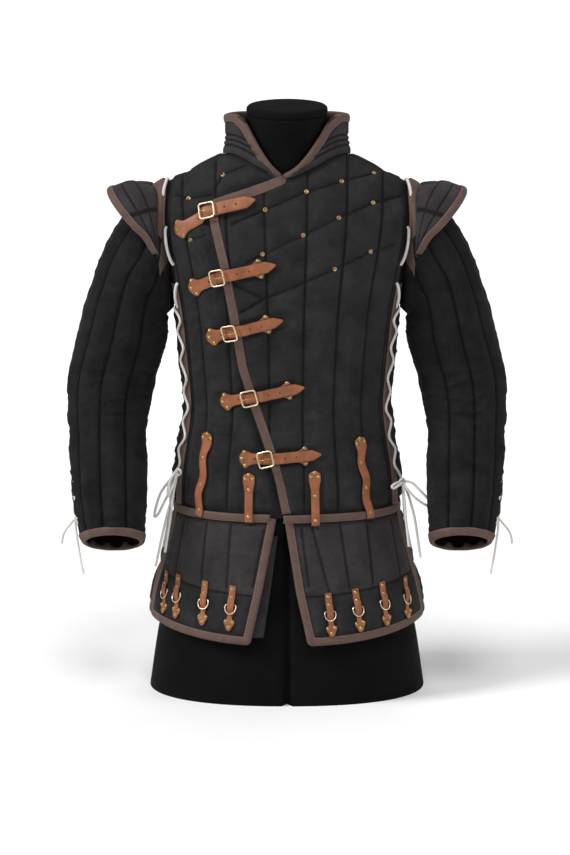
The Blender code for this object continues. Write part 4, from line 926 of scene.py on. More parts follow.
def band(name, edge, into, lift, wrap=0.0, both=False, rise=0.0024):
    """Domed strip from sites at its edge and its inner side; wrap folds it back under the cloth's edge."""
    lift = np.broadcast_to(np.asarray(lift, float), edge[0].shape)
    stations = []
    if wrap:
        stations += [(0.55, -wrap - 0.0014), (0.10, -wrap - 0.0014), (-0.10, -wrap * 0.7),
                     (-0.15, -wrap * 0.25), (-0.10, 0.0012)]
    else:
        stations += [(0.0, 0.0), (0.0, 0.0009)]
    stations += [(0.06, 0.0019), (0.25, rise), (0.55, rise + 0.0002), (0.84, rise - 0.0004), (0.97, 0.0015),
                 (1.0, 0.0008), (1.0, 0.0)]
    rings = []
    for s, o in stations:
        angle, level = blend(edge[0], into[0], s), blend(edge[1], into[1], s)
        rings.append(torso(angle, level, lift + o))
    rings = np.stack(rings, axis=1)
    rings = smoothed(rings, 1)
    normal = torso_normal(blend(edge[0], into[0], 0.5), blend(edge[1], into[1], 0.5))
    rings = rings + normal[:, None] * (soft_noise(rings, 130, 6.6) * 0.00035)[..., None]
    edges = np.zeros(rings.shape[:2])
    edges[:, -2:] = 1.0
    STITCH_RUNS.append((rings[:, -4] + normal * 0.0002, False))
    if both:
        STITCH_RUNS.append((rings[:, 2] + normal * 0.0002, False))
    return swept(name, rings, (LOOK["trim"],), False, {"edge": edges})


def body_bindings():
    """Closing edge down from the V, and the bands over the waist seam."""
    spots = np.vstack(((-0.0030, 0.8908), V_POINT, CLOSING_EDGE[::-1][:-1], (-0.0060, 0.3265)))
    line, _ = along_line(spots, 0.004)
    line = smoothed(line, 3)
    edge, into = site(*beside(line, -0.0004).T), site(*beside(line, BINDING_WIDTH).T)
    middle = site(*beside(line, BINDING_WIDTH / 2).T)
    tucked = 0.0045 * (1 - ease(np.arange(len(line)) / 4.0))
    lift = lap(*middle) + 0.0014 - tucked
    closing = band("closing_edge_binding", edge, into, lift, wrap=0.005)
    finish_piece(closing, ["closing_binding"])
    runs = {"waist_band_over": (float(site(-0.0060, WAIST)[0]), 90 - SIDE_GAP, True, []),
            "waist_band_under": (SIDE_GAP - 90, float(site(-0.0300, WAIST)[0]), False,
                                 ["waist_binding_under"]),
            "waist_band_back": (90 + SIDE_GAP, 270 - SIDE_GAP, False, ["waist_binding_back"])}
    for name, (start, stop, over, nodes) in runs.items():
        angle = np.linspace(start, stop, 110)
        low, high = np.full(110, WAIST - 0.0072), np.full(110, WAIST + 0.0067)
        rise = (lap(angle, np.full(110, WAIST)) if over else 0.0) + 0.0014
        finish_piece(band(name, (angle, low), (angle, high), rise, both=True), nodes)


# Leather

LEAF = ((0.0, 0.0012), (0.0018, 0.0058), (0.0042, 0.0084), (0.0062, 0.0126), (0.0085, 0.0158),
        (0.0112, 0.0166), (0.0138, 0.0156), (0.0170, 0.0126), (0.0215, 0.0102), (0.0280, 0.0092),
        (0.036, 0.0094))
TIP = ((0.0, 0.0008), (0.004, 0.0030), (0.009, 0.0058), (0.016, 0.0088))
STRAP_HALF = 0.0096
Strap = namedtuple("Strap", "leaf_x leaf_z buckle_x buckle_z tip_x tip_z sink")
STRAPS = (
    Strap(-0.192, 0.7930, -0.1323, 0.8285, -0.0516, 0.850, 0.0010),
    Strap(-0.168, 0.7020, -0.1132, 0.728, -0.0183, 0.750, 0.0),
    Strap(-0.1385, 0.6200, -0.0934, 0.637, -0.0058, 0.658, 0.0),
    Strap(-0.1158, 0.5105, -0.0633, 0.524, 0.0311, 0.542, 0.0),
    Strap(-0.0839, 0.4174, -0.0352, 0.4195, 0.0604, 0.4262, 0.0017),
)


def cover(x, z):
    """Height at which leather lies on the front: above the quilting and the bindings below it."""
    place = site(x, z)
    over = (x > edge_x(z)) | (z >= CLOSING_EDGE[-1][1])
    raised = np.where(over, lap(*place), 0.0)
    height = CREST + 4 * SEAM + raised
    height = height + np.where(over & (edge_distance(x, z) < BINDING_WIDTH + 0.003), BINDING + 3 * SEAM, 0.0)
    seam = 0.0016 + BINDING + SEAM * 2 + raised
    return np.where(np.abs(z - WAIST) < 0.011, np.maximum(height, seam), height)


def local_max(values, reach):
    padded = np.pad(values, reach, mode="edge")
    return np.max([padded[k:k + len(values)] for k in range(2 * reach + 1)], axis=0)


def facing(spots):
    """Share of a step across the cloth that shows as a step to the side in the front view."""
    normal = torso_normal(*site(spots[:, 0], spots[:, 1]))
    return np.abs(normal[:, 1]) / np.hypot(normal[:, 0], normal[:, 1])


def ribbon(name, line, halves, heights, look, thickness=LEATHER, round_share=0.10):
    """Leather strip along spots with a half width and a height at each, its corners rounded."""
    profile = ((-1.0, 0.0), (-1.0, 0.62), (-1 + round_share, 0.94), (-0.5, 1.0), (0.0, 1.02), (0.5, 1.0),
               (1 - round_share, 0.94), (1.0, 0.62), (1.0, 0.0), (0.0, 0.0))
    share = facing(line)
    rings = []
    for s, o in profile:
        moved = beside(line, halves * s)
        x = line[:, 0] + (moved[:, 0] - line[:, 0]) * share
        rings.append(torso(*site(x, moved[:, 1]), heights + thickness * o))
    rings = np.stack(rings, axis=1)
    edges = np.zeros(rings.shape[:2])
    edges[:, [0, 1, 7, 8]] = 1.0
    edges[:, [2, 6]] = 0.45
    edges[[0, 1, -2, -1]] = 1.0
    return swept(name, rings, (look,), False, {"edge": edges})


def strap_line(row):
    spots = np.array(((row.leaf_x, row.leaf_z), (row.buckle_x, row.buckle_z), (row.tip_x, row.tip_z)))
    line, gone = along_line(spots, 0.0014)
    heights = np.max([cover(*beside(line, d).T) for d in (-STRAP_HALF, 0, STRAP_HALF)], axis=0) - row.sink
    heights = smoothed(local_max(heights, 8), 12)
    over_chape = ease((line[:, 0] - row.buckle_x - 0.012) / 0.012)
    return smoothed(line, 6), gone, heights + over_chape * (LEATHER + SEAM), heights


def place_stud(kind, x, z, lift):
    """Remember a stud, eyelet or hole: its foot on the front and the way it faces."""
    place = site(x, z)
    STUDS[kind].append((torso(*place, lift), torso_normal(*place)))


def make_straps():
    """Closing straps with their chapes, studs and punched holes."""
    for number, row in enumerate(STRAPS, 1):
        line, gone, heights, low = strap_line(row)
        left_over = gone[-1] - gone
        halves = np.where(left_over < TIP[-1][0], np.interp(left_over, *zip(*TIP)),
                          np.interp(gone, *zip(*LEAF)))
        body = ribbon(f"strap_leather_{number}", line, halves, heights, LOOK["tan"])
        finish_piece(body, [f"strap_{number}"])
        start = int(np.searchsorted(line[:, 0], row.buckle_x + 0.014))
        stop = len(line) - int(0.0185 / 0.0014)
        chape, away = line[start:stop], gone[stop - 1] - gone[start:stop]
        wide = np.interp(away, *zip(*LEAF)) if number > 1 else np.interp(away, (0, 0.012), (0.0010, 0.0094))
        piece = ribbon(f"strap_chape_{number}", chape, wide, low[start:stop], LOOK["tan"])
        finish_piece(piece)
        ahead = unit(line[12] - line[2])
        left = np.array((-ahead[1], ahead[0]))
        foot = line[0]
        for s, o in ((0.0056, 0.0), (0.0108, 0.0112), (0.0108, -0.0112)):
            x, z = foot + ahead * s + left * o
            place_stud("brass", x, z, float(np.interp(s, gone, heights)) + LEATHER)
        end = chape[-1]
        back = unit(chape[-12] - chape[-2])
        beyond = np.array((-back[1], back[0]))
        for o in (0.0128, -0.0128) if number > 1 else ():
            x, z = end + back * 0.0112 + beyond * o
            place_stud("brass", x, z, float(low[stop - 10]) + LEATHER)
        centre = int(np.argmin(np.linalg.norm(line - (row.buckle_x, row.buckle_z), axis=1)))
        for run in (-0.0215, 0.0310, 0.0500):
            k = int(np.clip(centre + round(run / 0.0014), 0, len(line) - 1))
            if gone[-1] - gone[k] > 0.012:
                place_stud("hole", *line[k], float(heights[k]) + LEATHER * 1.02)


def tube(name, path, radius, look, closed=False, sides=10, flat=1.0, normal=None):
    """Round or flattened wire along a path of points."""
    path = np.asarray(path, float)
    if closed:
        way = unit(np.roll(path, -1, 0) - np.roll(path, 1, 0))
    else:
        way = unit(np.gradient(path, axis=0))
    normal = np.broadcast_to(np.asarray(normal, float), path.shape)
    side = unit(np.cross(way, normal))
    out = unit(np.cross(side, way))
    radius = np.broadcast_to(np.asarray(radius, float), (len(path),))[:, None]
    rings = [path + side * radius * cos(2 * pi * k / sides) + out * radius * flat * sin(2 * pi * k / sides)
             for k in range(sides)]
    return swept(name, np.stack(rings, axis=1), (look,), closed)


def node_points(name):
    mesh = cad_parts[name].data
    points = np.empty(len(mesh.vertices) * 3)
    mesh.vertices.foreach_get("co", points)
    return points.reshape(-1, 3)


def rounded_square(half, corner, count=72):
    """Outline of a square with rounded corners."""
    turn = np.linspace(0, 2 * pi, count, endpoint=False)
    power = 2 / (2 + 4 * (half / corner - 1))
    return np.stack((signed_power(np.cos(turn), power), signed_power(np.sin(turn), power)), -1) * half


def make_buckles():
    """Frames that lie round their straps, and the prong over each."""
    for number, row in enumerate(STRAPS, 1):
        points = node_points(f"buckle_{number}")
        centre = points.mean(0) / 2 + (points.min(0) + points.max(0)) / 4
        normal = np.linalg.svd(points - points.mean(0))[2][2]
        normal = normal * (1 if normal[1] < 0 else -1)
        a = torso(*site(row.buckle_x - 0.012, row.buckle_z - 0.003))
        b = torso(*site(row.buckle_x + 0.012, row.buckle_z + 0.003))
        run = unit(b - a)
        run = unit(run - normal * (run @ normal))
        across = np.cross(normal, run)
        outline = rounded_square(0.0130, 0.0062)
        path = centre + outline[:, :1] * run + outline[:, 1:] * across
        hoop = tube(f"buckle_frame_{number}", path, 0.0015, LOOK["gold"], closed=True, sides=12,
                    normal=normal)
        finish_piece(hoop, [f"buckle_{number}"])
        t = np.linspace(0, 1, 24)
        hump = 0.0018 * np.sin(pi * t) ** 0.7
        prong = centre + run * (-0.0127 + 0.0262 * t)[:, None] + normal * (0.0009 + hump)[:, None]
        piece = tube(f"buckle_prong_{number}", prong, 0.0007 * (1.15 - 0.45 * t), LOOK["brass"], sides=8,
                     normal=normal)
        finish_piece(piece)


Tab = namedtuple("Tab", "name top_x top_z low_x low_z wave studs")
TABS = (
    Tab("waist_tab_short_under", -0.0658, 0.3952, -0.0664, 0.3096, 0.0, (0.36, 0.90)),
    Tab("waist_tab_short_over", 0.0475, 0.3996, 0.0494, 0.3047, 0.0, (0.47, 0.90)),
    Tab("waist_tab_long_under", -0.1371, 0.4585, -0.1544, 0.3131, 0.0022, (0.32, 0.62, 0.92)),
    Tab("waist_tab_long_over", 0.1244, 0.4524, 0.1425, 0.3100, 0.0022, (0.32, 0.62, 0.92)),
)
TAB_HALF, TAB_WAVE_LENGTH = 0.0074, 0.060


def make_waist_tabs():
    """Studded tabs that hang from the body over the waist seam."""
    for row in TABS:
        line, gone = along_line(((row.top_x, row.top_z), (row.low_x, row.low_z)), 0.0014)
        leaf = np.interp(gone, *zip(*LEAF)) * 0.92
        halves = np.where(gone > 0.030, TAB_HALF, np.minimum(leaf, 0.0108))
        heights = np.max([cover(*beside(line, d).T) for d in (-0.009, 0, 0.009)], axis=0)
        heights = smoothed(local_max(heights, 5), 8)
        bow = row.wave * np.sin(2 * pi * gone / TAB_WAVE_LENGTH) * ease(gone / 0.03)
        slack = (0.0012 if row.wave else 0.0004) * ease((gone - 0.02) / 0.02)
        bent = beside(line, bow)
        lines_up = heights + slack * np.abs(np.sin(pi * gone / 0.046))
        piece = ribbon(f"{row.name}_leather", bent, smoothed(halves, 2), lines_up, LOOK["tan"])
        finish_piece(piece, [row.name])
        for s, o in ((0.0050, 0.0), (0.0118, 0.0064), (0.0118, -0.0064)):
            k = int(s / 0.0014)
            x, z = beside(bent, o)[k]
            place_stud("brass", x, z, float(lines_up[k]) + LEATHER)
        for share in row.studs:
            k = int(share * (len(bent) - 1))
            place_stud("brass", *bent[k], float(lines_up[k]) + LEATHER)


# Skirt

SKIRT_TOP = WAIST - 0.0010
SLIT_FRONT, SLIT_BACK = 80.0, 83.0
OVER_SKIRT_EDGE = np.array(((0.1087, 0.042), (0.2125, 0.0168), (0.3165, -0.0030)))
UNDER_SKIRT_EDGE = np.array(((0.1180, -0.0672), (0.2138, -0.0437), (0.3165, -0.0202)))
SEAM_RISE = 0.079
SKIRT_LINES = {
    "skirt_front_over": (((0.0250, 0.300), (0.0380, 0.205)), ((0.0430, 0.305), (0.0740, 0.192)),
                         ((0.0920, 0.308), (0.1090, 0.200)), ((0.1390, 0.310), (0.1500, 0.203)),
                         ((0.1800, 0.312), (0.1980, 0.207))),
    "skirt_front_under": (((-0.0400, 0.300), (-0.0600, 0.205)), ((-0.0980, 0.308), (-0.1060, 0.200)),
                          ((-0.1400, 0.310), (-0.1500, 0.206)), ((-0.1780, 0.312), (-0.1960, 0.210))),
}


def hem_level(angle):
    return 0.131 - 0.021 * np.maximum(0.0, np.cos(np.radians(angle))) ** 2


def over_skirt_angle(z):
    return site(np.interp(z, *OVER_SKIRT_EDGE.T), z)[0]


def under_skirt_angle(z):
    return site(np.interp(z, *UNDER_SKIRT_EDGE.T), z)[0]


SKIRT_EDGES = {
    "skirt_front_over": (over_skirt_angle, lambda z: np.full_like(z, SLIT_FRONT), 110),
    "skirt_front_under": (lambda z: np.full_like(z, -SLIT_FRONT), under_skirt_angle, 96),
    "skirt_back": (lambda z: np.full_like(z, SLIT_BACK), lambda z: np.full_like(z, 360 - SLIT_BACK), 170),
}


def skirt_lattice(name, upper_rows=42, lower_rows=30):
    """Angles and levels of a skirt panel: waist to the colour seam, then on to the hem."""
    start_at, stop_at, columns = SKIRT_EDGES[name]
    shares = np.concatenate((np.linspace(0, 1, upper_rows), 1 + np.linspace(0, 1, lower_rows + 1)[1:]))
    middle = np.interp(shares, (0, 1, 2), (SKIRT_TOP, 0.2042, 0.125))
    start, stop = start_at(middle)[:, None], stop_at(middle)[:, None]
    angle = start + (stop - start) * np.linspace(0, 1, columns)
    hem = hem_level(angle)
    level = np.where(shares[:, None] <= 1, blend(SKIRT_TOP, hem + SEAM_RISE, shares[:, None]),
                     blend(hem + SEAM_RISE, hem, shares[:, None] - 1))
    return angle, level, upper_rows - 1


def make_skirts(sizes):
    """Skirt panels, grey above the colour seam and black below, with their bindings."""
    for name in SKIRT_EDGES:
        angle, level, seam_row = skirt_lattice(name)
        points = torso(angle, level)
        if name == "skirt_back":
            lines = [riser(a, 0.213, WAIST, 10) for a in (100, 118, 136, 154, 170, 190, 206, 224, 242, 260)]
        else:
            lines = [surface_line(spots) for spots in SKIRT_LINES[name]]
        lines.append(torso(angle[seam_row], level[seam_row], 0.001))
        tabs = [surface_line(((row.top_x, row.top_z), (row.low_x, row.low_z))) for row in RING_TABS]
        outline = [points[0], points[:, 0], points[:, -1], points[-1]]
        rise, crest = quilting(points, lines, sizes, outline, tabs, 0.0012, 0.0075)
        tug = np.exp(-line_distance(points, points[::6, 0 if "over" in name else -1]) / 0.03)
        ripple = np.sin(level * 2 * pi / 0.021 + 2.2 * soft_noise(points, 22, 9.0)) * tug * 0.0009
        flat = ease((nearest_line(points, tabs) - 0.008) / 0.01)
        rise = rise * blend(0.9, 0.72, flat) + (ripple * flat if "front" in name else 0.0)
        slots = np.where(np.arange(len(level)) < seam_row, 0, 1)
        obj = shell(f"{name}_cloth", torso(angle, level, rise), torso(angle, level, -SKIRT_WALL),
                    (LOOK["canvas"], LOOK["twill"]), numbers={"crest": crest}, row_slots=slots)
        finish_piece(obj, [name])
        skirt_binding(name, angle, level)
    flap()


def skirt_binding(name, angle, level):
    """Bound front edge, hem and slit edge of one panel, in one folded strip."""
    outer, inner = torso(angle, level, 0.0006), torso(angle, level, -SKIRT_WALL)
    rows, last = len(outer) - 1, outer.shape[1] - 1
    stations = []
    path = [(i, 0, 0, 1) for i in range(0, rows)] + [(rows, j, -1, 0) for j in range(0, last + 1)]
    path += [(i, last, 0, -1) for i in range(rows - 1, -1, -1)]
    for i, j, di, dj in path:
        into = unit(outer[i + di * 5, j + dj * 5] - outer[i, j])
        stations.append((outer[i, j], inner[i, j], into))
    piece = folded_binding(name + "_bound_edge", stations, BINDING_WIDTH * 0.93, smooth=4)
    finish_piece(piece, [name.replace("skirt", "skirt_binding")])


def flap():
    """Plain strip sewn behind the under skirt's front edge."""
    z = np.linspace(0.288, 0.122, 50)
    edge = under_skirt_angle(z)
    wide = blend(2.5, 5.5, (0.288 - z) / 0.166)
    across = np.linspace(0, 1, 12)
    angle = blend((edge - 4)[:, None], (edge + wide)[:, None], across)
    level = np.repeat(z[:, None], 12, 1)
    wave = 0.0006 * np.sin(level * 60) * across
    obj = shell("under_flap_cloth", torso(angle, level, -SKIRT_WALL - 0.0012 + wave),
                torso(angle, level, -SKIRT_WALL - 0.0024 + wave), (LOOK["twill"],),
                numbers={"crest": np.ones_like(angle)})
    finish_piece(obj, ["under_flap"])


RingTab = namedtuple("RingTab", "top_x top_z low_x low_z sink")
RING_TABS = (
    RingTab(-0.2100, 0.2120, -0.2160, 0.1420, 0.0006), RingTab(-0.1890, 0.2130, -0.1938, 0.1400, 0.0004),
    RingTab(-0.1420, 0.2100, -0.1474, 0.1355, 0.0), RingTab(-0.0938, 0.2060, -0.1018, 0.1305, 0.0004),
    RingTab(0.0710, 0.1950, 0.0784, 0.1215, 0.0), RingTab(0.1180, 0.1995, 0.1281, 0.1270, 0.0),
    RingTab(0.1648, 0.2060, 0.1736, 0.1310, 0.0), RingTab(0.2055, 0.2050, 0.2105, 0.1340, 0.0),
)
RING_AT, RING_WIRE, RING_HALF, RING_DROP = 0.42, 0.0010, 0.0095, 0.0165
TAB_LEVEL = 0.0015
TAB_OUTLINE = ((0.0, 0.0052), (0.02, 0.0060), (0.55, 0.0060), (0.64, 0.0050), (0.71, 0.0042), (0.78, 0.0086),
               (0.84, 0.0094), (0.90, 0.0062), (0.95, 0.0052), (1.0, 0.0010))


def make_ring_tabs():
    """Leather tabs on the hem, the D-rings that they hold, and their studs."""
    for number, row in enumerate(RING_TABS, 1):
        line, gone = along_line(((row.top_x, row.top_z), (row.low_x, row.low_z)), 0.0012)
        share = gone / gone[-1]
        near = np.maximum(0.0, 1 - np.abs(share - RING_AT) / 0.17)
        hump = (2 * RING_WIRE + 0.0014) * ease(np.minimum(1.0, 2.0 * near))
        heights = TAB_LEVEL - row.sink + hump + np.where(line[:, 1] < 0.149, BINDING, 0.0)
        heights = smoothed(heights, 5)
        piece = ribbon(f"ring_tab_leather_{number}", line, np.interp(share, *zip(*TAB_OUTLINE)), heights,
                       LOOK["tan"], thickness=0.0017)
        finish_piece(piece, [f"ring_tab_{number}"])
        for at in (0.10, 0.28, 0.905):
            k = int(at * (len(line) - 1))
            place_stud("brass", *line[k], float(heights[k]) + 0.0017)
        for o in (0.0062, -0.0062):
            k = int(0.80 * (len(line) - 1))
            x, z = beside(line, o * float(facing(line[k:k + 1])[0]))[k]
            place_stud("brass", x, z, float(heights[k]) + 0.0014)
        where = blend(np.array((row.top_x, row.top_z)), np.array((row.low_x, row.low_z)), RING_AT)
        lower = blend(np.array((row.top_x, row.top_z)), np.array((row.low_x, row.low_z)), 0.8)
        middle = torso(*site(*where), 0.0015 - row.sink + RING_WIRE + 0.0007)
        foot = torso(*site(*lower), 0.0015 + BINDING + 0.0016 + 2 * SEAM + RING_WIRE + 0.0012)
        down = unit(foot - middle)
        bar = unit(np.cross(down, torso_normal(*site(*where))))
        out = np.cross(bar, down)
        turn = np.linspace(0, pi, 30)
        bow = np.stack((RING_HALF * np.cos(turn), 0.0055 + (RING_DROP - 0.0055) * np.sin(turn)), -1)
        straight = np.stack((np.linspace(-RING_HALF, RING_HALF, 12), np.zeros(12)), -1)
        outline = np.vstack((straight, bow))
        path = middle + outline[:, :1] * bar + outline[:, 1:] * down
        ring = tube(f"d_ring_{number}", smoothed(path, 2, True), 0.00105, LOOK["gold"], closed=True, sides=10,
                    normal=out)
        finish_piece(ring, [f"hem_ring_{number}"], body=f"ring_{number}")


# Sleeves, caps and the bands round the armholes

SleeveRing = namedtuple("SleeveRing", "in_x in_z out_x out_z y half_depth tilt")
SLEEVE = (
    SleeveRing(0.206, 0.650, 0.262, 0.824, 0.000, 0.064, 0),
    SleeveRing(0.208, 0.640, 0.300, 0.765, 0.000, 0.065, 0),
    SleeveRing(0.206, 0.628, 0.329, 0.690, 0.000, 0.067, 0),
    SleeveRing(0.207, 0.600, 0.347, 0.628, 0.000, 0.069, 0),
    SleeveRing(0.219, 0.560, 0.361, 0.572, 0.000, 0.069, 4),
    SleeveRing(0.230, 0.522, 0.368, 0.530, -0.004, 0.067, 12),
    SleeveRing(0.237, 0.488, 0.368, 0.493, -0.017, 0.064, 22),
    SleeveRing(0.242, 0.450, 0.365, 0.452, -0.038, 0.062, 28),
    SleeveRing(0.242, 0.395, 0.361, 0.395, -0.068, 0.060, 29),
    SleeveRing(0.242, 0.340, 0.356, 0.340, -0.097, 0.056, 29),
    SleeveRing(0.242, 0.298, 0.348, 0.298, -0.118, 0.052, 29),
    SleeveRing(0.242, 0.277, 0.343, 0.277, -0.128, 0.050, 29),
)
BAND_LOW = CREST + SEAM
SIDE_STRIP_ANGLE = 70.0


def armhole(steps, out, grow=0.0):
    """Points round the wearer's left armhole at steps from 0 at its lowest to 2 round again."""
    steps = np.asarray(steps, float)
    share = arm_share(np.where(steps <= 1, steps, 2 - steps))
    turn = pi * share
    wide = grow * np.degrees(1 / 0.13) * np.minimum(1.0, 2 * np.sin(turn / 2))
    level = np.minimum(blend(CHEST, SHOULDER, share), SHOULDER) - grow * np.maximum(0.0, np.cos(turn))
    angle = arm_angle(share) - wide
    return torso(np.where(steps <= 1, angle, 180 - angle), level, np.full(steps.shape, out))


def armhole_hub():
    return armhole(np.linspace(0, 2, 40, endpoint=False), 0.0).mean(0)


def sleeve_surface(rows, steps):
    """Smooth outer surface of the wearer's left sleeve; its rows run from the armhole to the cuff."""
    hub = armhole_hub()
    keys = []
    for out in (-0.004, 0.009):
        loop = armhole(steps, out)
        inwards = unit((hub - loop) * np.array((0, 1, 1)))
        pull = 0.0012 + 0.0040 * np.maximum(0.0, (loop[:, 2:] - hub[2]) / 0.1) ** 3
        keys.append(loop + inwards * pull)
    turn = pi - pi * steps
    for row in SLEEVE:
        low, high = np.array((row.in_x, row.y, row.in_z)), np.array((row.out_x, row.y, row.out_z))
        deep = np.array((0, -cos(radians(row.tilt)), sin(radians(row.tilt)))) * row.half_depth
        keys.append((low + high) / 2 + np.outer(np.cos(turn), (high - low) / 2)
                    + np.outer(np.sin(turn), deep))
    return through(keys, rows)


def make_sleeves(sizes):
    """Quilted sleeves, their bound cuffs and the bound slit over each cuff."""
    rows, columns = 220, 136
    steps = np.linspace(0, 2, columns, endpoint=False)
    surface = sleeve_surface(rows, steps)
    normal = grid_normals(surface, ring=True)
    hub = surface.mean(1, keepdims=True)
    if np.sum(normal * (surface - hub)) < 0:
        normal = -normal
    girth = np.linalg.norm(np.roll(surface, -1, 1) - surface, axis=-1).sum(1, keepdims=True)
    fall = np.linspace(0, 1, rows)[:, None]
    nearest = np.full((rows, columns), 1.0)
    for line in (0.0, 0.36, 0.58, 0.79, 1.0, 1.21, 1.42, 1.64):
        drift = line + 0.02 * np.sin(fall * 5 + line * 3)
        gap = np.abs(((steps[None] - drift + 1) % 2) - 1) / 2 * girth
        nearest = np.minimum(nearest, gap)
    crease = 1 - np.exp(-(nearest / 0.0034) ** 2)
    pillow = 1 - np.exp(-(nearest / sizes.quilt_spread) ** 2)
    z = surface[..., 2]
    inside = np.clip(np.cos((steps[None] - 0.42) * pi), 0, 1) ** 1.5
    elbow = np.exp(-((z - 0.505) / 0.055) ** 2)
    bend = (1 - np.abs(np.sin(z * 2 * pi / 0.043 + 1.6 * soft_noise(surface, 26, 2.0)))) ** 2 * elbow * inside
    forearm = ease((0.56 - z) / 0.12)
    ends = ease((fall - 0.05) / 0.08) * ease((1 - fall) / 0.05)
    folds = wrinkles(surface, nearest, 0.5 * forearm) * (0.3 + 0.7 * pillow) * (1 + 0.5 * forearm)
    rise = (sizes.quilt_depth * (0.40 * crease + 0.60 * pillow) + sizes.wrinkle * folds
            + 0.0045 * bend - 0.0020 * elbow * inside)
    rise = np.clip(rise, -0.001, 0.0085) * ends
    # The crest numbers paint shade into the stitched dips and darken the cloth beside the cuff and armhole
    # bindings.
    crest = np.minimum(crease, 0.3 + 0.7 * ends)
    outer, inner = surface + normal * rise[..., None], surface - normal * SLEEVE_WALL
    for name, side in SIDES.items():
        # The sleeve material is the black twill darkened as painted shade.
        obj = shell(f"sleeve_cloth_{name}", mirrored(outer, side), mirrored(inner, side), (LOOK["sleeve"],),
                    ring=True, numbers={"crest": crest})
        finish_piece(obj, [f"sleeve_{name}"])
        edge_out, edge_in = mirrored(outer[-1], side), mirrored(inner[-1], side)
        into = unit(mirrored(outer[-7] - outer[-1], side))
        piece = folded_binding(f"cuff_bound_edge_{name}", list(zip(edge_out, edge_in, into)), 0.0120, 3, True)
        finish_piece(piece, [f"cuff_binding_{name}"])
        turn_at = int(columns * 0.485)
        slit = mirrored((surface + normal * 0.0034)[-42:-5, turn_at - 1:turn_at + 2], side)
        out = mirrored(normal[-42:-5, turn_at], side)
        rings = np.stack((slit[:, 0] - out * 0.001, slit[:, 0] + out * 0.0004, slit[:, 1] + out * 0.0009,
                          slit[:, 2] + out * 0.0004, slit[:, 2] - out * 0.001), axis=1)
        strip = swept(f"cuff_slit_binding_{name}", rings, (LOOK["trim"],), False,
                      {"edge": np.zeros(rings.shape[:2])})
        finish_piece(strip)


CAP_WALL = 0.0045
CAP_RIM = ((0.2400, 0.7830, 0.066), (0.2580, 0.8010, 0.064), (0.2790, 0.8240, 0.055), (0.2950, 0.8430, 0.034),
           (0.3020, 0.8530, 0.000))


def sleeve_head(steps, reach, lift):
    """Points round the wearer's left sleeve head at a reach down it from its seam, raised by a lift."""
    surface = sleeve_surface(220, steps)[17:50]
    gone = np.cumsum(np.linalg.norm(np.diff(surface, axis=0, prepend=surface[:1]), axis=-1), axis=0)
    points = np.array([[np.interp(reach, gone[:, j], surface[:, j, k]) for k in range(3)]
                       for j in range(len(steps))])
    return points + unit((points - armhole_hub()) * np.array((0, 1, 1))) * lift


def cap_surface(rows, columns):
    """Lower side of the wing over the wearer's left sleeve head, and the way its face looks."""
    root = sleeve_head(np.linspace(0.43, 1.57, columns), 0.0215, 0.0036)
    front = np.array([(x, -y, z) for x, z, y in CAP_RIM])
    keys = np.concatenate(([root[0] + (0.008, -0.003, -0.004)], front,
                           (front * (1, -1, 1))[-2::-1], [root[-1] + (0.008, 0.003, -0.004)]))
    rim = through(keys, columns)
    t = np.linspace(0, 1, rows)[:, None, None]
    surface = blend(root, rim, t)
    normal = unit(np.cross(np.gradient(surface, axis=0), np.gradient(surface, axis=1)))
    if normal[rows // 2, columns // 2, 2] < 0:
        normal = -normal
    share = np.linspace(0, 1, columns)[:, None]
    return surface + normal * 0.009 * np.sin(pi * t) * np.sin(pi * share), normal


def make_caps():
    """Quilted wings with their bound rims."""
    rows, columns = 60, 110
    surface, normal = cap_surface(rows, columns)
    t = np.linspace(0, 1, rows)[:, None]
    share = np.linspace(0, 1, columns)[None]
    seams = np.full((rows, columns), 1.0)
    for line in (0.34, 0.66):
        seams = np.minimum(seams, np.abs(t - line) * 0.09)
    for line in (0.22, 0.5, 0.78):
        seams = np.minimum(seams, np.abs(share - line - 0.10 * (t - 0.5)) * 0.15)
    crease = 1 - np.exp(-(seams / 0.003) ** 2)
    pillow = 1 - np.exp(-(seams / 0.011) ** 2)
    ends = ease(t / 0.06) * ease((1 - t) / 0.08) * ease(share / 0.05) * ease((1 - share) / 0.05)
    slack = soft_noise(surface, (40, 40, 40), 3.3) * 0.0007
    rise = (0.0022 * (0.4 * crease + 0.6 * pillow) + slack) * ends
    outer = surface + normal * (CAP_WALL + rise)[..., None]
    for name, side in SIDES.items():
        obj = shell(f"cap_cloth_{name}", mirrored(outer, side), mirrored(surface, side), (LOOK["canvas"],),
                    numbers={"crest": crease})
        finish_piece(obj, [f"cap_{name}"])
        stations = []
        for j in range(3, columns - 3):
            into = unit(mirrored(outer[-8, j] - outer[-1, j], side))
            stations.append((mirrored(outer[-1, j], side), mirrored(surface[-1, j], side), into))
        piece = folded_binding(f"cap_bound_edge_{name}", stations, 0.0100, 3)
        finish_piece(piece, [f"cap_binding_{name}"])


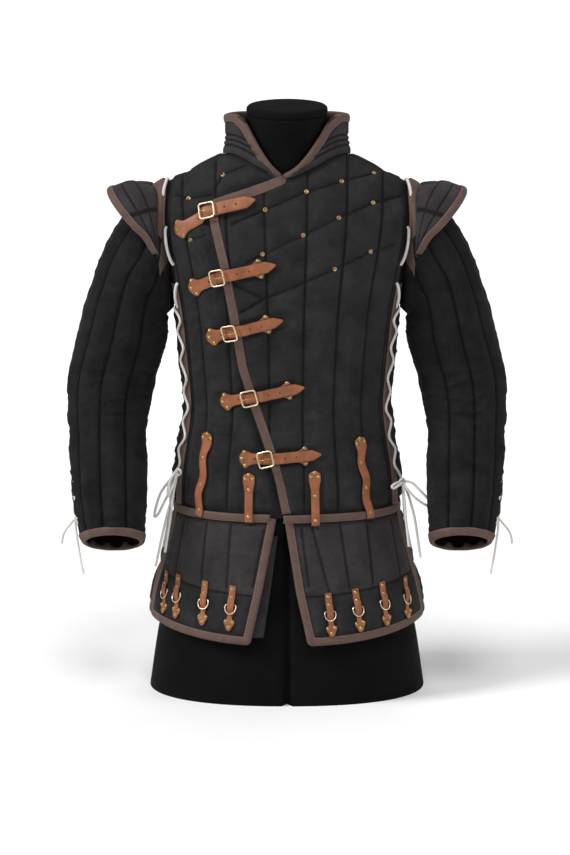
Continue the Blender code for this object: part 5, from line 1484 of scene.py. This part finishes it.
def make_armhole_bands():
    """Bands over the armhole seams, and the strips that the sides lace through."""
    steps = np.linspace(0, 2, 220, endpoint=False)
    lift = BAND_LOW + 0.0012
    for name, side in SIDES.items():
        rings = []
        for grow, out in ((0.0032, 0.0), (0.0032, 0.0012), (0.0022, 0.0026), (0.0006, 0.0044)):
            rings.append(mirrored(armhole(steps, lift + out, grow), side))
        for reach, out in ((0.0060, 0.0048), (0.0225, 0.0050), (0.0242, 0.0036), (0.0244, 0.0010)):
            rings.append(mirrored(sleeve_head(steps, reach, out), side))
        rings = np.stack(rings, axis=1)
        edges = np.zeros(rings.shape[:2])
        edges[:, [0, 1, 6, 7]] = 1.0
        piece = swept(f"armhole_band_leather_{name}", rings, (LOOK["trim"],), True, {"edge": edges})
        finish_piece(piece, [f"armhole_band_{name}"])
        for k in (2, 5):
            STITCH_RUNS.append((rings[:, k] * 1.0, True))
        levels = np.linspace(WAIST + 0.0085, CHEST + 0.045, 90)
        angle = np.full(90, side * SIDE_STRIP_ANGLE)
        strip = band(f"side_strip_{name}", (angle - 4.2, levels), (angle + 4.2, levels), BAND_LOW + 0.0004,
                     both=True, rise=0.0020)
        finish_piece(strip)


# Laces

LACE_OUT = BAND_LOW + BINDING + 0.0020 + 0.0022
Knot = namedtuple("Knot", "angle level out")
SIDE_LACE = (
    Knot(74.0, 0.662, 0.0), Knot(66.5, 0.645, 0.0), Knot(73.5, 0.622, 0.0), Knot(66.5, 0.598, 0.0),
    Knot(73.5, 0.572, 0.0), Knot(66.5, 0.545, 0.0), Knot(73.5, 0.518, 0.0), Knot(66.5, 0.492, 0.0),
    Knot(73.5, 0.466, 0.0), Knot(66.5, 0.442, 0.0), Knot(73.5, 0.418, 0.0), Knot(68.0, 0.396, 0.0),
    Knot(73.0, 0.378, 0.0005), Knot(78.0, 0.362, 0.001), Knot(82.0, 0.335, 0.001),
    Knot(82.0, 0.305, 0.001), Knot(80.0, 0.275, 0.001), Knot(77.0, 0.245, 0.001),
)
CuffKnot = namedtuple("CuffKnot", "turn height out")
CUFF_LACE = (
    CuffKnot(22, 0.365, 0.0), CuffKnot(2, 0.352, 0.0), CuffKnot(22, 0.340, 0.0), CuffKnot(2, 0.326, 0.0),
    CuffKnot(14, 0.312, 0.0008), CuffKnot(10, 0.296, 0.0030), CuffKnot(6, 0.275, 0.004),
    CuffKnot(2, 0.250, 0.005), CuffKnot(0, 0.228, 0.005),
)
# Bow loops and spare ends of each side, from the knot on.
BOWS = {
    "left": {
        "loop": ((0.1944, -0.074, 0.3700), (0.2100, -0.080, 0.3690), (0.2245, -0.084, 0.3560),
                 (0.2392, -0.084, 0.3395), (0.2364, -0.086, 0.3310), (0.2180, -0.088, 0.3430),
                 (0.2030, -0.086, 0.3590), (0.1960, -0.080, 0.3690)),
        "short_end": ((0.1950, -0.078, 0.3698), (0.1985, -0.090, 0.3400), (0.2011, -0.097, 0.3062),
                      (0.2059, -0.104, 0.2633)),
        "near_loop": ((0.1944, -0.076, 0.3700), (0.1850, -0.088, 0.3700), (0.1771, -0.094, 0.3660),
                      (0.1800, -0.094, 0.3620), (0.1880, -0.090, 0.3660), (0.1950, -0.082, 0.3690)),
        "long_end": ((0.1965, -0.076, 0.3700), (0.2075, -0.082, 0.3400), (0.2163, -0.090, 0.3058),
                     (0.2257, -0.098, 0.2432)),
    },
    "right": {
        "loop": ((-0.1832, -0.080, 0.3884), (-0.1975, -0.084, 0.3744), (-0.2144, -0.086, 0.3496),
                 (-0.2241, -0.088, 0.3144), (-0.2180, -0.090, 0.3160), (-0.2060, -0.090, 0.3400),
                 (-0.1942, -0.088, 0.3620), (-0.1850, -0.084, 0.3860)),
        "short_end": ((-0.1845, -0.082, 0.3888), (-0.1926, -0.090, 0.3484), (-0.1977, -0.096, 0.3062),
                      (-0.2063, -0.104, 0.2535)),
        "near_loop": ((-0.1832, -0.080, 0.3884), (-0.1900, -0.092, 0.3880), (-0.1990, -0.094, 0.3700),
                      (-0.2010, -0.094, 0.3480), (-0.1950, -0.094, 0.3600), (-0.1850, -0.086, 0.3870)),
        "long_end": ((-0.1850, -0.082, 0.3888), (-0.1960, -0.088, 0.3398), (-0.2090, -0.096, 0.2889),
                     (-0.2220, -0.104, 0.2292)),
    },
}
ARM_LACES = (((0.2060, 0.8700), (0.2120, 0.8380)), ((0.2080, 0.7990), (0.1955, 0.7380)),
             ((0.1890, 0.7080), (0.1865, 0.6620)))


def lace_curve(name, points, radius, count):
    """Cotton lace as one open curve with rounded section."""
    data = bpy.data.curves.new(name, "CURVE")
    data.dimensions = "3D"
    data.bevel_depth, data.bevel_resolution, data.use_fill_caps = radius, 3, True
    line = data.splines.new("POLY")
    even = evenly(points, count)
    line.points.add(len(even) - 1)
    for point, where in zip(line.points, even):
        point.co = (*where, 1)
    data.materials.append(LOOK["lace"])
    length = float(np.linalg.norm(np.diff(even, axis=0), axis=1).sum())
    return placed(name, data), even, length


def free_lace(name, points, radius, count, nodes=()):
    """Lace from its first point on, seated on its body with the parts it stands for hidden."""
    obj, even, length = lace_curve(name, points, radius, count)
    finish_piece(obj, nodes)
    return obj


def cuff_route(side):
    """Route of a cuff lace over the sleeve, from the top down."""
    middles = [(row.in_z + row.out_z) / 2 for row in SLEEVE]
    points = []
    for knot in CUFF_LACE:
        order = sorted(range(len(SLEEVE)), key=lambda k: abs(middles[k] - knot.height))[:2]
        a, b = sorted((SLEEVE[k] for k in order), key=lambda row: -row.out_z)
        t = (a.out_z - knot.height) / (a.out_z - b.out_z)
        in_x, out_x = blend(a.in_x, b.in_x, t), blend(a.out_x, b.out_x, t)
        y, depth = blend(a.y, b.y, t), blend(a.half_depth, b.half_depth, min(t, 1))
        reach = 0.0020 + CREST * 0.8 + 0.0013 + knot.out
        turn, tilt = radians(knot.turn), radians(a.tilt)
        x = (in_x + out_x) / 2 + ((out_x - in_x) / 2 + reach) * cos(turn)
        forward = (depth + reach) * sin(turn)
        points.append((x * side, y - forward * cos(tilt), knot.height + forward * sin(tilt)))
    return np.array(points)


def make_laces(sizes):
    """Side laces with their bows, cuff laces, and short laces across the armholes."""
    radius = sizes.lace_radius
    for name, side in SIDES.items():
        route = np.array([torso(side * k.angle, k.level, LACE_OUT + k.out) for k in SIDE_LACE])
        free_lace(f"side_lace_cord_{name}", route, radius, 220, [f"side_lace_{name}"])
        for part, points in BOWS[name].items():
            free_lace(f"side_bow_{part}_{name}", np.array(points), radius, 60)
        knot = np.array(BOWS[name]["loop"][0]) + np.array((0, -0.003, 0))
        ball = [knot + np.array((0.004 * side * cos(a), -0.0030 + 0.0028 * sin(2 * a), 0.0052 * sin(a)))
                for a in np.linspace(0, 2 * pi * 0.93, 14)]
        obj, _, _ = lace_curve(f"side_knot_{name}", np.array(ball), radius * 0.95, 50)
        finish_piece(obj)
        route = cuff_route(side)
        free_lace(f"cuff_lace_cord_{name}", route, radius * 0.9, 90, [f"cuff_lace_{name}"])
        foot = route[4]
        step = np.array((side, 1, 1))
        loops = {"loop": ((0, -0.003, 0), (-0.010, -0.008, -0.004), (-0.024, -0.010, -0.010),
                          (-0.020, -0.010, -0.020), (-0.006, -0.007, -0.010), (0.002, -0.004, 0)),
                 "end": ((0, -0.003, 0), (0.010, -0.006, -0.012), (0.020, -0.006, -0.026),
                         (0.024, -0.004, -0.044))}
        for part, moves in loops.items():
            points = foot + np.array(moves) * step
            free_lace(f"cuff_bow_{part}_{name}", points, radius * 0.9, 50)
        for number, spots in enumerate(ARM_LACES, 1):
            (x0, z0), (x1, z1) = spots
            t = np.linspace(0, 1, 14)
            x, z = blend(x0, x1, t) * side, blend(z0, z1, t)
            arch = BAND_LOW - 0.001 + 0.0066 * np.sin(pi * t) ** 0.6
            route = torso(*site(x, z), arch)
            obj, _, _ = lace_curve(f"armhole_lace_{number}_{name}", route, radius * 1.2, 40)
            finish_piece(obj)


# Dress form

def form_point(turn, level):
    """Point inside the garment's plain inner face, flat where an arm would begin."""
    beside_arm = 0.0028 * np.abs(np.sin(np.radians(turn))) ** 4
    curved = np.where((level > ARCH_START) & (level < 0.94), 1.3 * 0.0028, beside_arm)
    inside = np.where(level < 0.94, WALL + 0.0016 + curved, WALL + 0.0007)
    points = torso(turn, level, -inside)
    points[..., 0] = np.where(level > 0.62, np.clip(points[..., 0], -0.172, 0.172), points[..., 0])
    return points


def make_form():
    """Dress form: torso with its groove, and the neck."""
    turns = np.linspace(-180, 180, 260, endpoint=False)
    low = np.linspace(0.0, 0.28, 70)[:, None]
    lower = base(np.broadcast_to(turns, (70, 260)), np.broadcast_to(low, (70, 260)), FORM)
    high = np.concatenate((np.linspace(0.32, 0.90, 44), np.linspace(0.91, 0.9485, 9)))[:, None]
    upper = form_point(np.broadcast_to(turns, (53, 260)), np.broadcast_to(high, (53, 260)).copy())
    surface = np.concatenate((lower, upper))
    x = surface[..., 0]
    front = surface[..., 1] < 0
    z = surface[..., 2]
    groove = np.exp(-((x - 0.0008) / 0.0026) ** 4) * front * ease((0.31 - z) / 0.05)
    surface = surface + np.array((0, 1, 0)) * (0.016 * groove)[..., None]
    closing = surface[-1].copy()
    closing[:, 1] *= 0.02
    surface = np.concatenate((surface, closing[None]))
    rows, columns = surface.shape[:2]
    quads = grid_faces(rows, columns, True)
    points = surface.reshape(-1, 3)
    floor_hub, crown_hub = len(points), len(points) + 1
    points = np.concatenate((points, [(0, 0, 0)], [closing.mean(0)]))
    ring = np.arange(columns)
    nxt = (ring + 1) % columns
    last = (rows - 1) * columns
    faces = quads.tolist() + [[a, floor_hub, b] for a, b in zip(ring, nxt)]
    faces += [[last + a, last + b, crown_hub] for a, b in zip(ring, nxt)]
    body = mixed_mesh("form_torso", points, [[int(v) for v in f] for f in faces],
                      np.concatenate((surface[..., [0, 2]].reshape(-1, 2), np.zeros((2, 2)))), {},
                      (LOOK["form"],))
    finish_piece(body, ["dress_form"])
    table = ((0.860, 0.060, -0.010), (0.945, 0.062, -0.012), (0.962, 0.0640, -0.013),
             (0.9800, 0.0668, -0.014), (0.9868, 0.0672, -0.014), (0.9880, 0.0655, -0.014),
             (0.9892, 0.0672, -0.014), (0.9940, 0.0684, -0.014), (0.9985, 0.0676, -0.014),
             (1.0010, 0.0650, -0.014), (1.0020, 0.0600, -0.014), (1.0024, 0.030, -0.014),
             (1.0024, 0.002, -0.014))
    turn = np.linspace(0, 2 * pi, 96, endpoint=False)
    rings = []
    for z0, half, y0 in table:
        lean = 0.05 * half * np.cos(turn) * (z0 > 0.95)
        rings.append(np.stack((half * np.sin(turn), y0 - 0.92 * half * np.cos(turn), z0 - lean), -1))
    between = [blend(a, b, t) for a, b in zip(rings[:-1], rings[1:]) for t in (0, 0.34, 0.67)]
    neck = swept("form_neck", between + rings[-1:], (LOOK["form"],))
    finish_piece(neck)


# Repeats made with geometry nodes

def new_tree(name, result, sockets):
    """Geometry tree with named inputs and one output; gives the tree and its two end nodes."""
    tree = bpy.data.node_groups.new(name, "GeometryNodeTree")
    for key, kind, value in sockets:
        made = tree.interface.new_socket(name=key, in_out="INPUT", socket_type="NodeSocket" + kind)
        if value is not None:
            made.default_value = value
    tree.interface.new_socket(name=result, in_out="OUTPUT", socket_type="NodeSocketGeometry")
    return tree, tree.nodes.new("NodeGroupInput"), tree.nodes.new("NodeGroupOutput")


def wire(tree, *runs):
    """Link nodes: each run is a node, its output, another node and its input."""
    for source, out, target, into in runs:
        tree.links.new(source.outputs[out], target.inputs[into])


def stitch_tree():
    """Stitches along runs of edges: the runs are cut at the pitch and each cut gets one short thread."""
    tree, given, result = new_tree("Stitches along a run", "Stitches", (
        ("Runs", "Geometry", None), ("Pitch", "Float", 0.0045), ("Length", "Float", 0.0030),
        ("Thickness", "Float", 0.0006), ("Thread", "Material", None)))
    curve, cut, points, bead, size, tangent, align, real, dye = (tree.nodes.new(kind) for kind in (
        "GeometryNodeMeshToCurve", "GeometryNodeResampleCurve", "GeometryNodeInstanceOnPoints",
        "GeometryNodeMeshIcoSphere", "ShaderNodeCombineXYZ", "GeometryNodeInputTangent",
        "FunctionNodeAlignRotationToVector", "GeometryNodeRealizeInstances", "GeometryNodeSetMaterial"))
    cut.mode, align.axis = "LENGTH", "X"
    bead.inputs["Radius"].default_value, bead.inputs["Subdivisions"].default_value = 0.5, 2
    wire(tree, (given, "Runs", curve, "Mesh"), (curve, "Curve", cut, "Curve"),
         (given, "Pitch", cut, "Length"),
         (cut, "Curve", points, "Points"), (bead, "Mesh", points, "Instance"), (given, "Length", size, 0),
         (given, "Thickness", size, 1), (given, "Thickness", size, 2), (size, 0, points, "Scale"),
         (tangent, 0, align, "Vector"), (align, 0, points, "Rotation"), (points, "Instances", real, 0),
         (real, 0, dye, "Geometry"), (given, "Thread", dye, "Material"), (dye, 0, result, "Stitches"))
    return tree


def stud_tree():
    """A round brass or punched shape at every point, facing the way its point says."""
    tree, given, result = new_tree("Studs on points", "Studs", (
        ("Places", "Geometry", None), ("Shape", "Object", None), ("Radius", "Float", 0.0035),
        ("Look", "Material", None)))
    shape, points, facing_way, align, real, dye = (tree.nodes.new(kind) for kind in (
        "GeometryNodeObjectInfo", "GeometryNodeInstanceOnPoints", "GeometryNodeInputNamedAttribute",
        "FunctionNodeAlignRotationToVector", "GeometryNodeRealizeInstances", "GeometryNodeSetMaterial"))
    facing_way.data_type, align.axis = "FLOAT_VECTOR", "Z"
    facing_way.inputs["Name"].default_value = "facing"
    wire(tree, (given, "Places", points, "Points"), (given, "Shape", shape, "Object"),
         (shape, "Geometry", points, "Instance"), (facing_way, "Attribute", align, "Vector"),
         (align, 0, points, "Rotation"), (given, "Radius", points, "Scale"), (points, "Instances", real, 0),
         (real, 0, dye, "Geometry"), (given, "Look", dye, "Material"), (dye, 0, result, "Studs"))
    return tree


def grown(name, source, tree, values):
    """Plain mesh of what a tree grows on a source mesh."""
    mod = source.modifiers.new("Grow", "NODES")
    mod.node_group = tree
    for item in tree.interface.items_tree:
        if item.item_type == "SOCKET" and item.in_out == "INPUT" and item.name in values:
            mod[item.identifier] = values[item.name]
    bpy.context.view_layer.update()
    graph = bpy.context.evaluated_depsgraph_get()
    mesh = bpy.data.meshes.new_from_object(source.evaluated_get(graph))
    source.modifiers.remove(mod)
    bpy.data.objects.remove(source)
    mesh.name = name
    mesh.shade_smooth()
    return placed(name, mesh)


def point_cloud(name, places):
    mesh = bpy.data.meshes.new(name)
    mesh.from_pydata([tuple(p) for p, _ in places], [], [])
    facing_way = mesh.attributes.new("facing", "FLOAT_VECTOR", "POINT")
    facing_way.data.foreach_set("vector", np.array([n for _, n in places], np.float32).ravel())
    return placed(name, mesh)


def lathe(name, profile, sides=20):
    """Shape of unit radius turned about Z, for a stud, an eyelet or a hole."""
    turn = np.linspace(0, 2 * pi, sides, endpoint=False)
    rings = [np.stack((r * np.cos(turn), r * np.sin(turn), np.full(sides, h)), -1) for r, h in profile]
    return swept(name, rings, (LOOK["brass"],))


SHAPES = {
    "brass": ((1.0, -0.15), (1.0, 0.10), (0.90, 0.20), (0.80, 0.22), (0.74, 0.30), (0.62, 0.46), (0.42, 0.60),
              (0.20, 0.67), (0.04, 0.69)),
    "eyelet": ((1.0, -0.20), (1.0, 0.12), (0.88, 0.30), (0.70, 0.34), (0.52, 0.26), (0.42, 0.08),
               (0.30, 0.02), (0.22, 0.14), (0.04, 0.20)),
    "hole": ((1.0, -0.3), (1.0, 0.05), (0.8, 0.10), (0.6, 0.02), (0.04, 0.0)),
}
CHEST_EYELETS = (
    (0.1506, 0.8861), (0.0942, 0.8796), (0.0333, 0.866), (-0.0374, 0.8376), (0.1485, 0.8432), (0.089, 0.8237),
    (0.0277, 0.7979), (-0.0422, 0.7671), (0.1441, 0.7668), (0.0823, 0.7416), (-0.1107, 0.8877),
    (-0.1113, 0.851), (-0.170, 0.8475), (-0.1664, 0.7826),
)


def make_studs(sizes):
    """Every stud, eyelet and hole, grown on the places that were remembered."""
    tree = stud_tree()
    for x, z in CHEST_EYELETS:
        over = x > float(edge_x(z)) and not (x < -0.1 and z > 0.845)
        rise = float(lap(*site(x, z))) if over else 0.0
        place_stud("eyelet", x, z, rise + 0.0010)
    # The holes are dark discs laid on the leather, partly the black cloth beneath and partly painted shade.
    made = {"brass": ("leather_studs", sizes.stud_radius, "brass"),
            "eyelet": ("chest_eyelets", sizes.eyelet_radius, "brass"),
            "hole": ("strap_holes", 0.0017, "hole")}
    for kind, (name, radius, look) in made.items():
        shape = lathe(kind + "_shape", SHAPES[kind])
        obj = grown(name, point_cloud(name + "_places", STUDS[kind]), tree,
                    {"Shape": shape, "Radius": radius, "Look": LOOK[look]})
        bpy.data.objects.remove(shape)
        finish_piece(obj)


def make_stitches(sizes):
    """Edge stitching along every run that the bindings and bands left."""
    points, edges = [], []
    for run, closed in STITCH_RUNS:
        start = len(points)
        points += [tuple(p) for p in run]
        edges += [(start + k, start + k + 1) for k in range(len(run) - 1)]
        if closed:
            edges.append((start + len(run) - 1, start))
    mesh = bpy.data.meshes.new("pale_runs")
    mesh.from_pydata(points, edges, [])
    obj = grown("pale_stitches", placed("pale_runs", mesh), stitch_tree(),
                {"Pitch": sizes.stitch_pitch, "Length": 0.0030, "Thickness": 0.00055,
                 "Thread": LOOK["pale_thread"]})
    finish_piece(obj)


# Stage

SKY_GLOW = 0.25
PIXEL, DISTANCE = 0.0017, 8.0


def make_stage():
    """Pale floor, soft light and the camera at the picture's height and distance."""
    mesh = bpy.data.meshes.new("floor")
    mesh.from_pydata([(-90, -90, 0), (90, -90, 0), (90, 90, 0), (-90, 90, 0)], [], [(0, 1, 2, 3)])
    mesh.materials.append(plain("Pale floor", (0.88, 0.88, 0.88), 0.9, 3))
    placed("floor", mesh)
    world = bpy.data.worlds.new("Soft room")
    bpy.context.scene.world = world
    world.use_nodes = True
    nodes, links = world.node_tree.nodes, world.node_tree.links
    sky = nodes["Background"]
    sky.inputs["Color"].default_value = (1.0, 1.0, 1.0, 1)
    seen = nodes.new("ShaderNodeLightPath").outputs["Is Camera Ray"]
    links.new(map_range(nodes, links, seen, 0.0, 1.0, SKY_GLOW, 1.0), sky.inputs["Strength"])
    Lamp = namedtuple("Lamp", "name x y z spread power")
    for lamp in (Lamp("left_window", -2.7, -1.0, 2.7, 22, 2.6), Lamp("right_window", 2.6, -0.9, 2.0, 26, 0.7),
                 Lamp("high_window", 0.2, -2.0, 3.6, 20, 1.1), Lamp("roof_light", 0.3, 1.2, 3.4, 36, 0.7)):
        data = bpy.data.lights.new(lamp.name, "SUN")
        data.angle, data.energy = radians(lamp.spread), lamp.power
        obj = placed(lamp.name, data)
        obj.location = (lamp.x, lamp.y, lamp.z)
        aim = Vector((0, 0, 0.55)) - obj.location
        obj.rotation_euler = aim.to_track_quat("-Z", "Y").to_euler()
    data = bpy.data.cameras.new("picture")
    data.sensor_fit, data.sensor_width = "HORIZONTAL", 36.0
    data.angle_x = 2 * atan(570 * PIXEL / 2 / DISTANCE)
    camera = placed("picture", data)
    camera.location = (-0.0034, -7.836, 2.1125)
    camera.rotation_euler = (radians(78), 0, 0)
    bpy.context.scene.camera = camera
    bpy.context.scene.view_settings.view_transform = "Standard"


# Operators

class OBJECT_OT_gambeson_looks(bpy.types.Operator):
    """Make the cloth, leather, brass, lace and jersey materials"""
    bl_idname = "object.gambeson_looks"
    bl_label = "Materials"

    def execute(self, context):
        make_looks(context.scene.gambeson_colours)
        return {"FINISHED"}


class OBJECT_OT_gambeson_laces(bpy.types.Operator):
    """Lace the sides, the cuffs and the armholes, with their bows and free ends"""
    bl_idname = "object.gambeson_laces"
    bl_label = "Laces"

    def execute(self, context):
        make_laces(context.scene.gambeson_sizes)
        return {"FINISHED"}


class OBJECT_OT_gambeson_body(bpy.types.Operator):
    """Quilt the two fronts and the back"""
    bl_idname = "object.gambeson_body"
    bl_label = "Body panels"

    def execute(self, context):
        front_panels(context.scene.gambeson_sizes)
        back_panel(context.scene.gambeson_sizes)
        return {"FINISHED"}


class OBJECT_OT_gambeson_collar(bpy.types.Operator):
    """Roll and bind the standing collar"""
    bl_idname = "object.gambeson_collar"
    bl_label = "Collar"

    def execute(self, context):
        make_collar()
        return {"FINISHED"}


class OBJECT_OT_gambeson_bindings(bpy.types.Operator):
    """Bind the closing edge and the waist seam"""
    bl_idname = "object.gambeson_bindings"
    bl_label = "Body bindings"

    def execute(self, context):
        body_bindings()
        return {"FINISHED"}


class OBJECT_OT_gambeson_skirt(bpy.types.Operator):
    """Quilt and bind the three skirt panels"""
    bl_idname = "object.gambeson_skirt"
    bl_label = "Skirt"

    def execute(self, context):
        make_skirts(context.scene.gambeson_sizes)
        return {"FINISHED"}


class OBJECT_OT_gambeson_sleeves(bpy.types.Operator):
    """Quilt the sleeves and bind their cuffs"""
    bl_idname = "object.gambeson_sleeves"
    bl_label = "Sleeves"

    def execute(self, context):
        make_sleeves(context.scene.gambeson_sizes)
        return {"FINISHED"}


class OBJECT_OT_gambeson_caps(bpy.types.Operator):
    """Quilt the wings over the shoulders and band the armholes"""
    bl_idname = "object.gambeson_caps"
    bl_label = "Wings and armholes"

    def execute(self, context):
        make_caps()
        make_armhole_bands()
        return {"FINISHED"}


class OBJECT_OT_gambeson_straps(bpy.types.Operator):
    """Cut the closing straps and bend their buckles"""
    bl_idname = "object.gambeson_straps"
    bl_label = "Straps and buckles"

    def execute(self, context):
        make_straps()
        make_buckles()
        return {"FINISHED"}


class OBJECT_OT_gambeson_tabs(bpy.types.Operator):
    """Cut the waist tabs and the ringed tabs of the hem"""
    bl_idname = "object.gambeson_tabs"
    bl_label = "Tabs and rings"

    def execute(self, context):
        make_waist_tabs()
        make_ring_tabs()
        return {"FINISHED"}


class OBJECT_OT_gambeson_studs(bpy.types.Operator):
    """Set the studs and eyelets and punch the strap holes"""
    bl_idname = "object.gambeson_studs"
    bl_label = "Studs and eyelets"

    def execute(self, context):
        make_studs(context.scene.gambeson_sizes)
        return {"FINISHED"}


class OBJECT_OT_gambeson_stitches(bpy.types.Operator):
    """Sew the edge stitching"""
    bl_idname = "object.gambeson_stitches"
    bl_label = "Stitching"

    def execute(self, context):
        make_stitches(context.scene.gambeson_sizes)
        return {"FINISHED"}


class OBJECT_OT_gambeson_form(bpy.types.Operator):
    """Cover the limbless dress form"""
    bl_idname = "object.gambeson_form"
    bl_label = "Dress form"

    def execute(self, context):
        make_form()
        return {"FINISHED"}


class OBJECT_OT_gambeson_stage(bpy.types.Operator):
    """Lay the floor and set the lights and the camera"""
    bl_idname = "object.gambeson_stage"
    bl_label = "Stage"

    def execute(self, context):
        make_stage()
        return {"FINISHED"}


STEPS = (
    OBJECT_OT_gambeson_stage, OBJECT_OT_gambeson_looks, OBJECT_OT_gambeson_laces, OBJECT_OT_gambeson_form,
    OBJECT_OT_gambeson_body, OBJECT_OT_gambeson_collar, OBJECT_OT_gambeson_bindings, OBJECT_OT_gambeson_skirt,
    OBJECT_OT_gambeson_sleeves, OBJECT_OT_gambeson_caps, OBJECT_OT_gambeson_straps, OBJECT_OT_gambeson_tabs,
    OBJECT_OT_gambeson_studs, OBJECT_OT_gambeson_stitches,
)


class VIEW3D_PT_gambeson(bpy.types.Panel):
    """Sizes, colours and steps of the gambeson"""
    bl_label = "Gambeson"
    bl_idname = "VIEW3D_PT_gambeson"
    bl_space_type = "VIEW_3D"
    bl_region_type = "UI"
    bl_category = "Gambeson"

    def draw(self, context):
        for group in (context.scene.gambeson_sizes, context.scene.gambeson_colours):
            column = self.layout.column(align=True)
            for name in group.__annotations__:
                column.prop(group, name)
        for step in STEPS:
            self.layout.operator(step.bl_idname)


CLASSES = (GambesonSizes, GambesonColours) + STEPS + (VIEW3D_PT_gambeson,)


def register():
    for cls in CLASSES:
        bpy.utils.register_class(cls)
    bpy.types.Scene.gambeson_sizes = PointerProperty(type=GambesonSizes)
    bpy.types.Scene.gambeson_colours = PointerProperty(type=GambesonColours)


def unregister():
    del bpy.types.Scene.gambeson_colours
    del bpy.types.Scene.gambeson_sizes
    for cls in reversed(CLASSES):
        bpy.utils.unregister_class(cls)


def main():
    register()
    for step in STEPS:
        group, name = step.bl_idname.split(".")
        getattr(getattr(bpy.ops, group), name)()


if __name__ == "__main__":
    main()
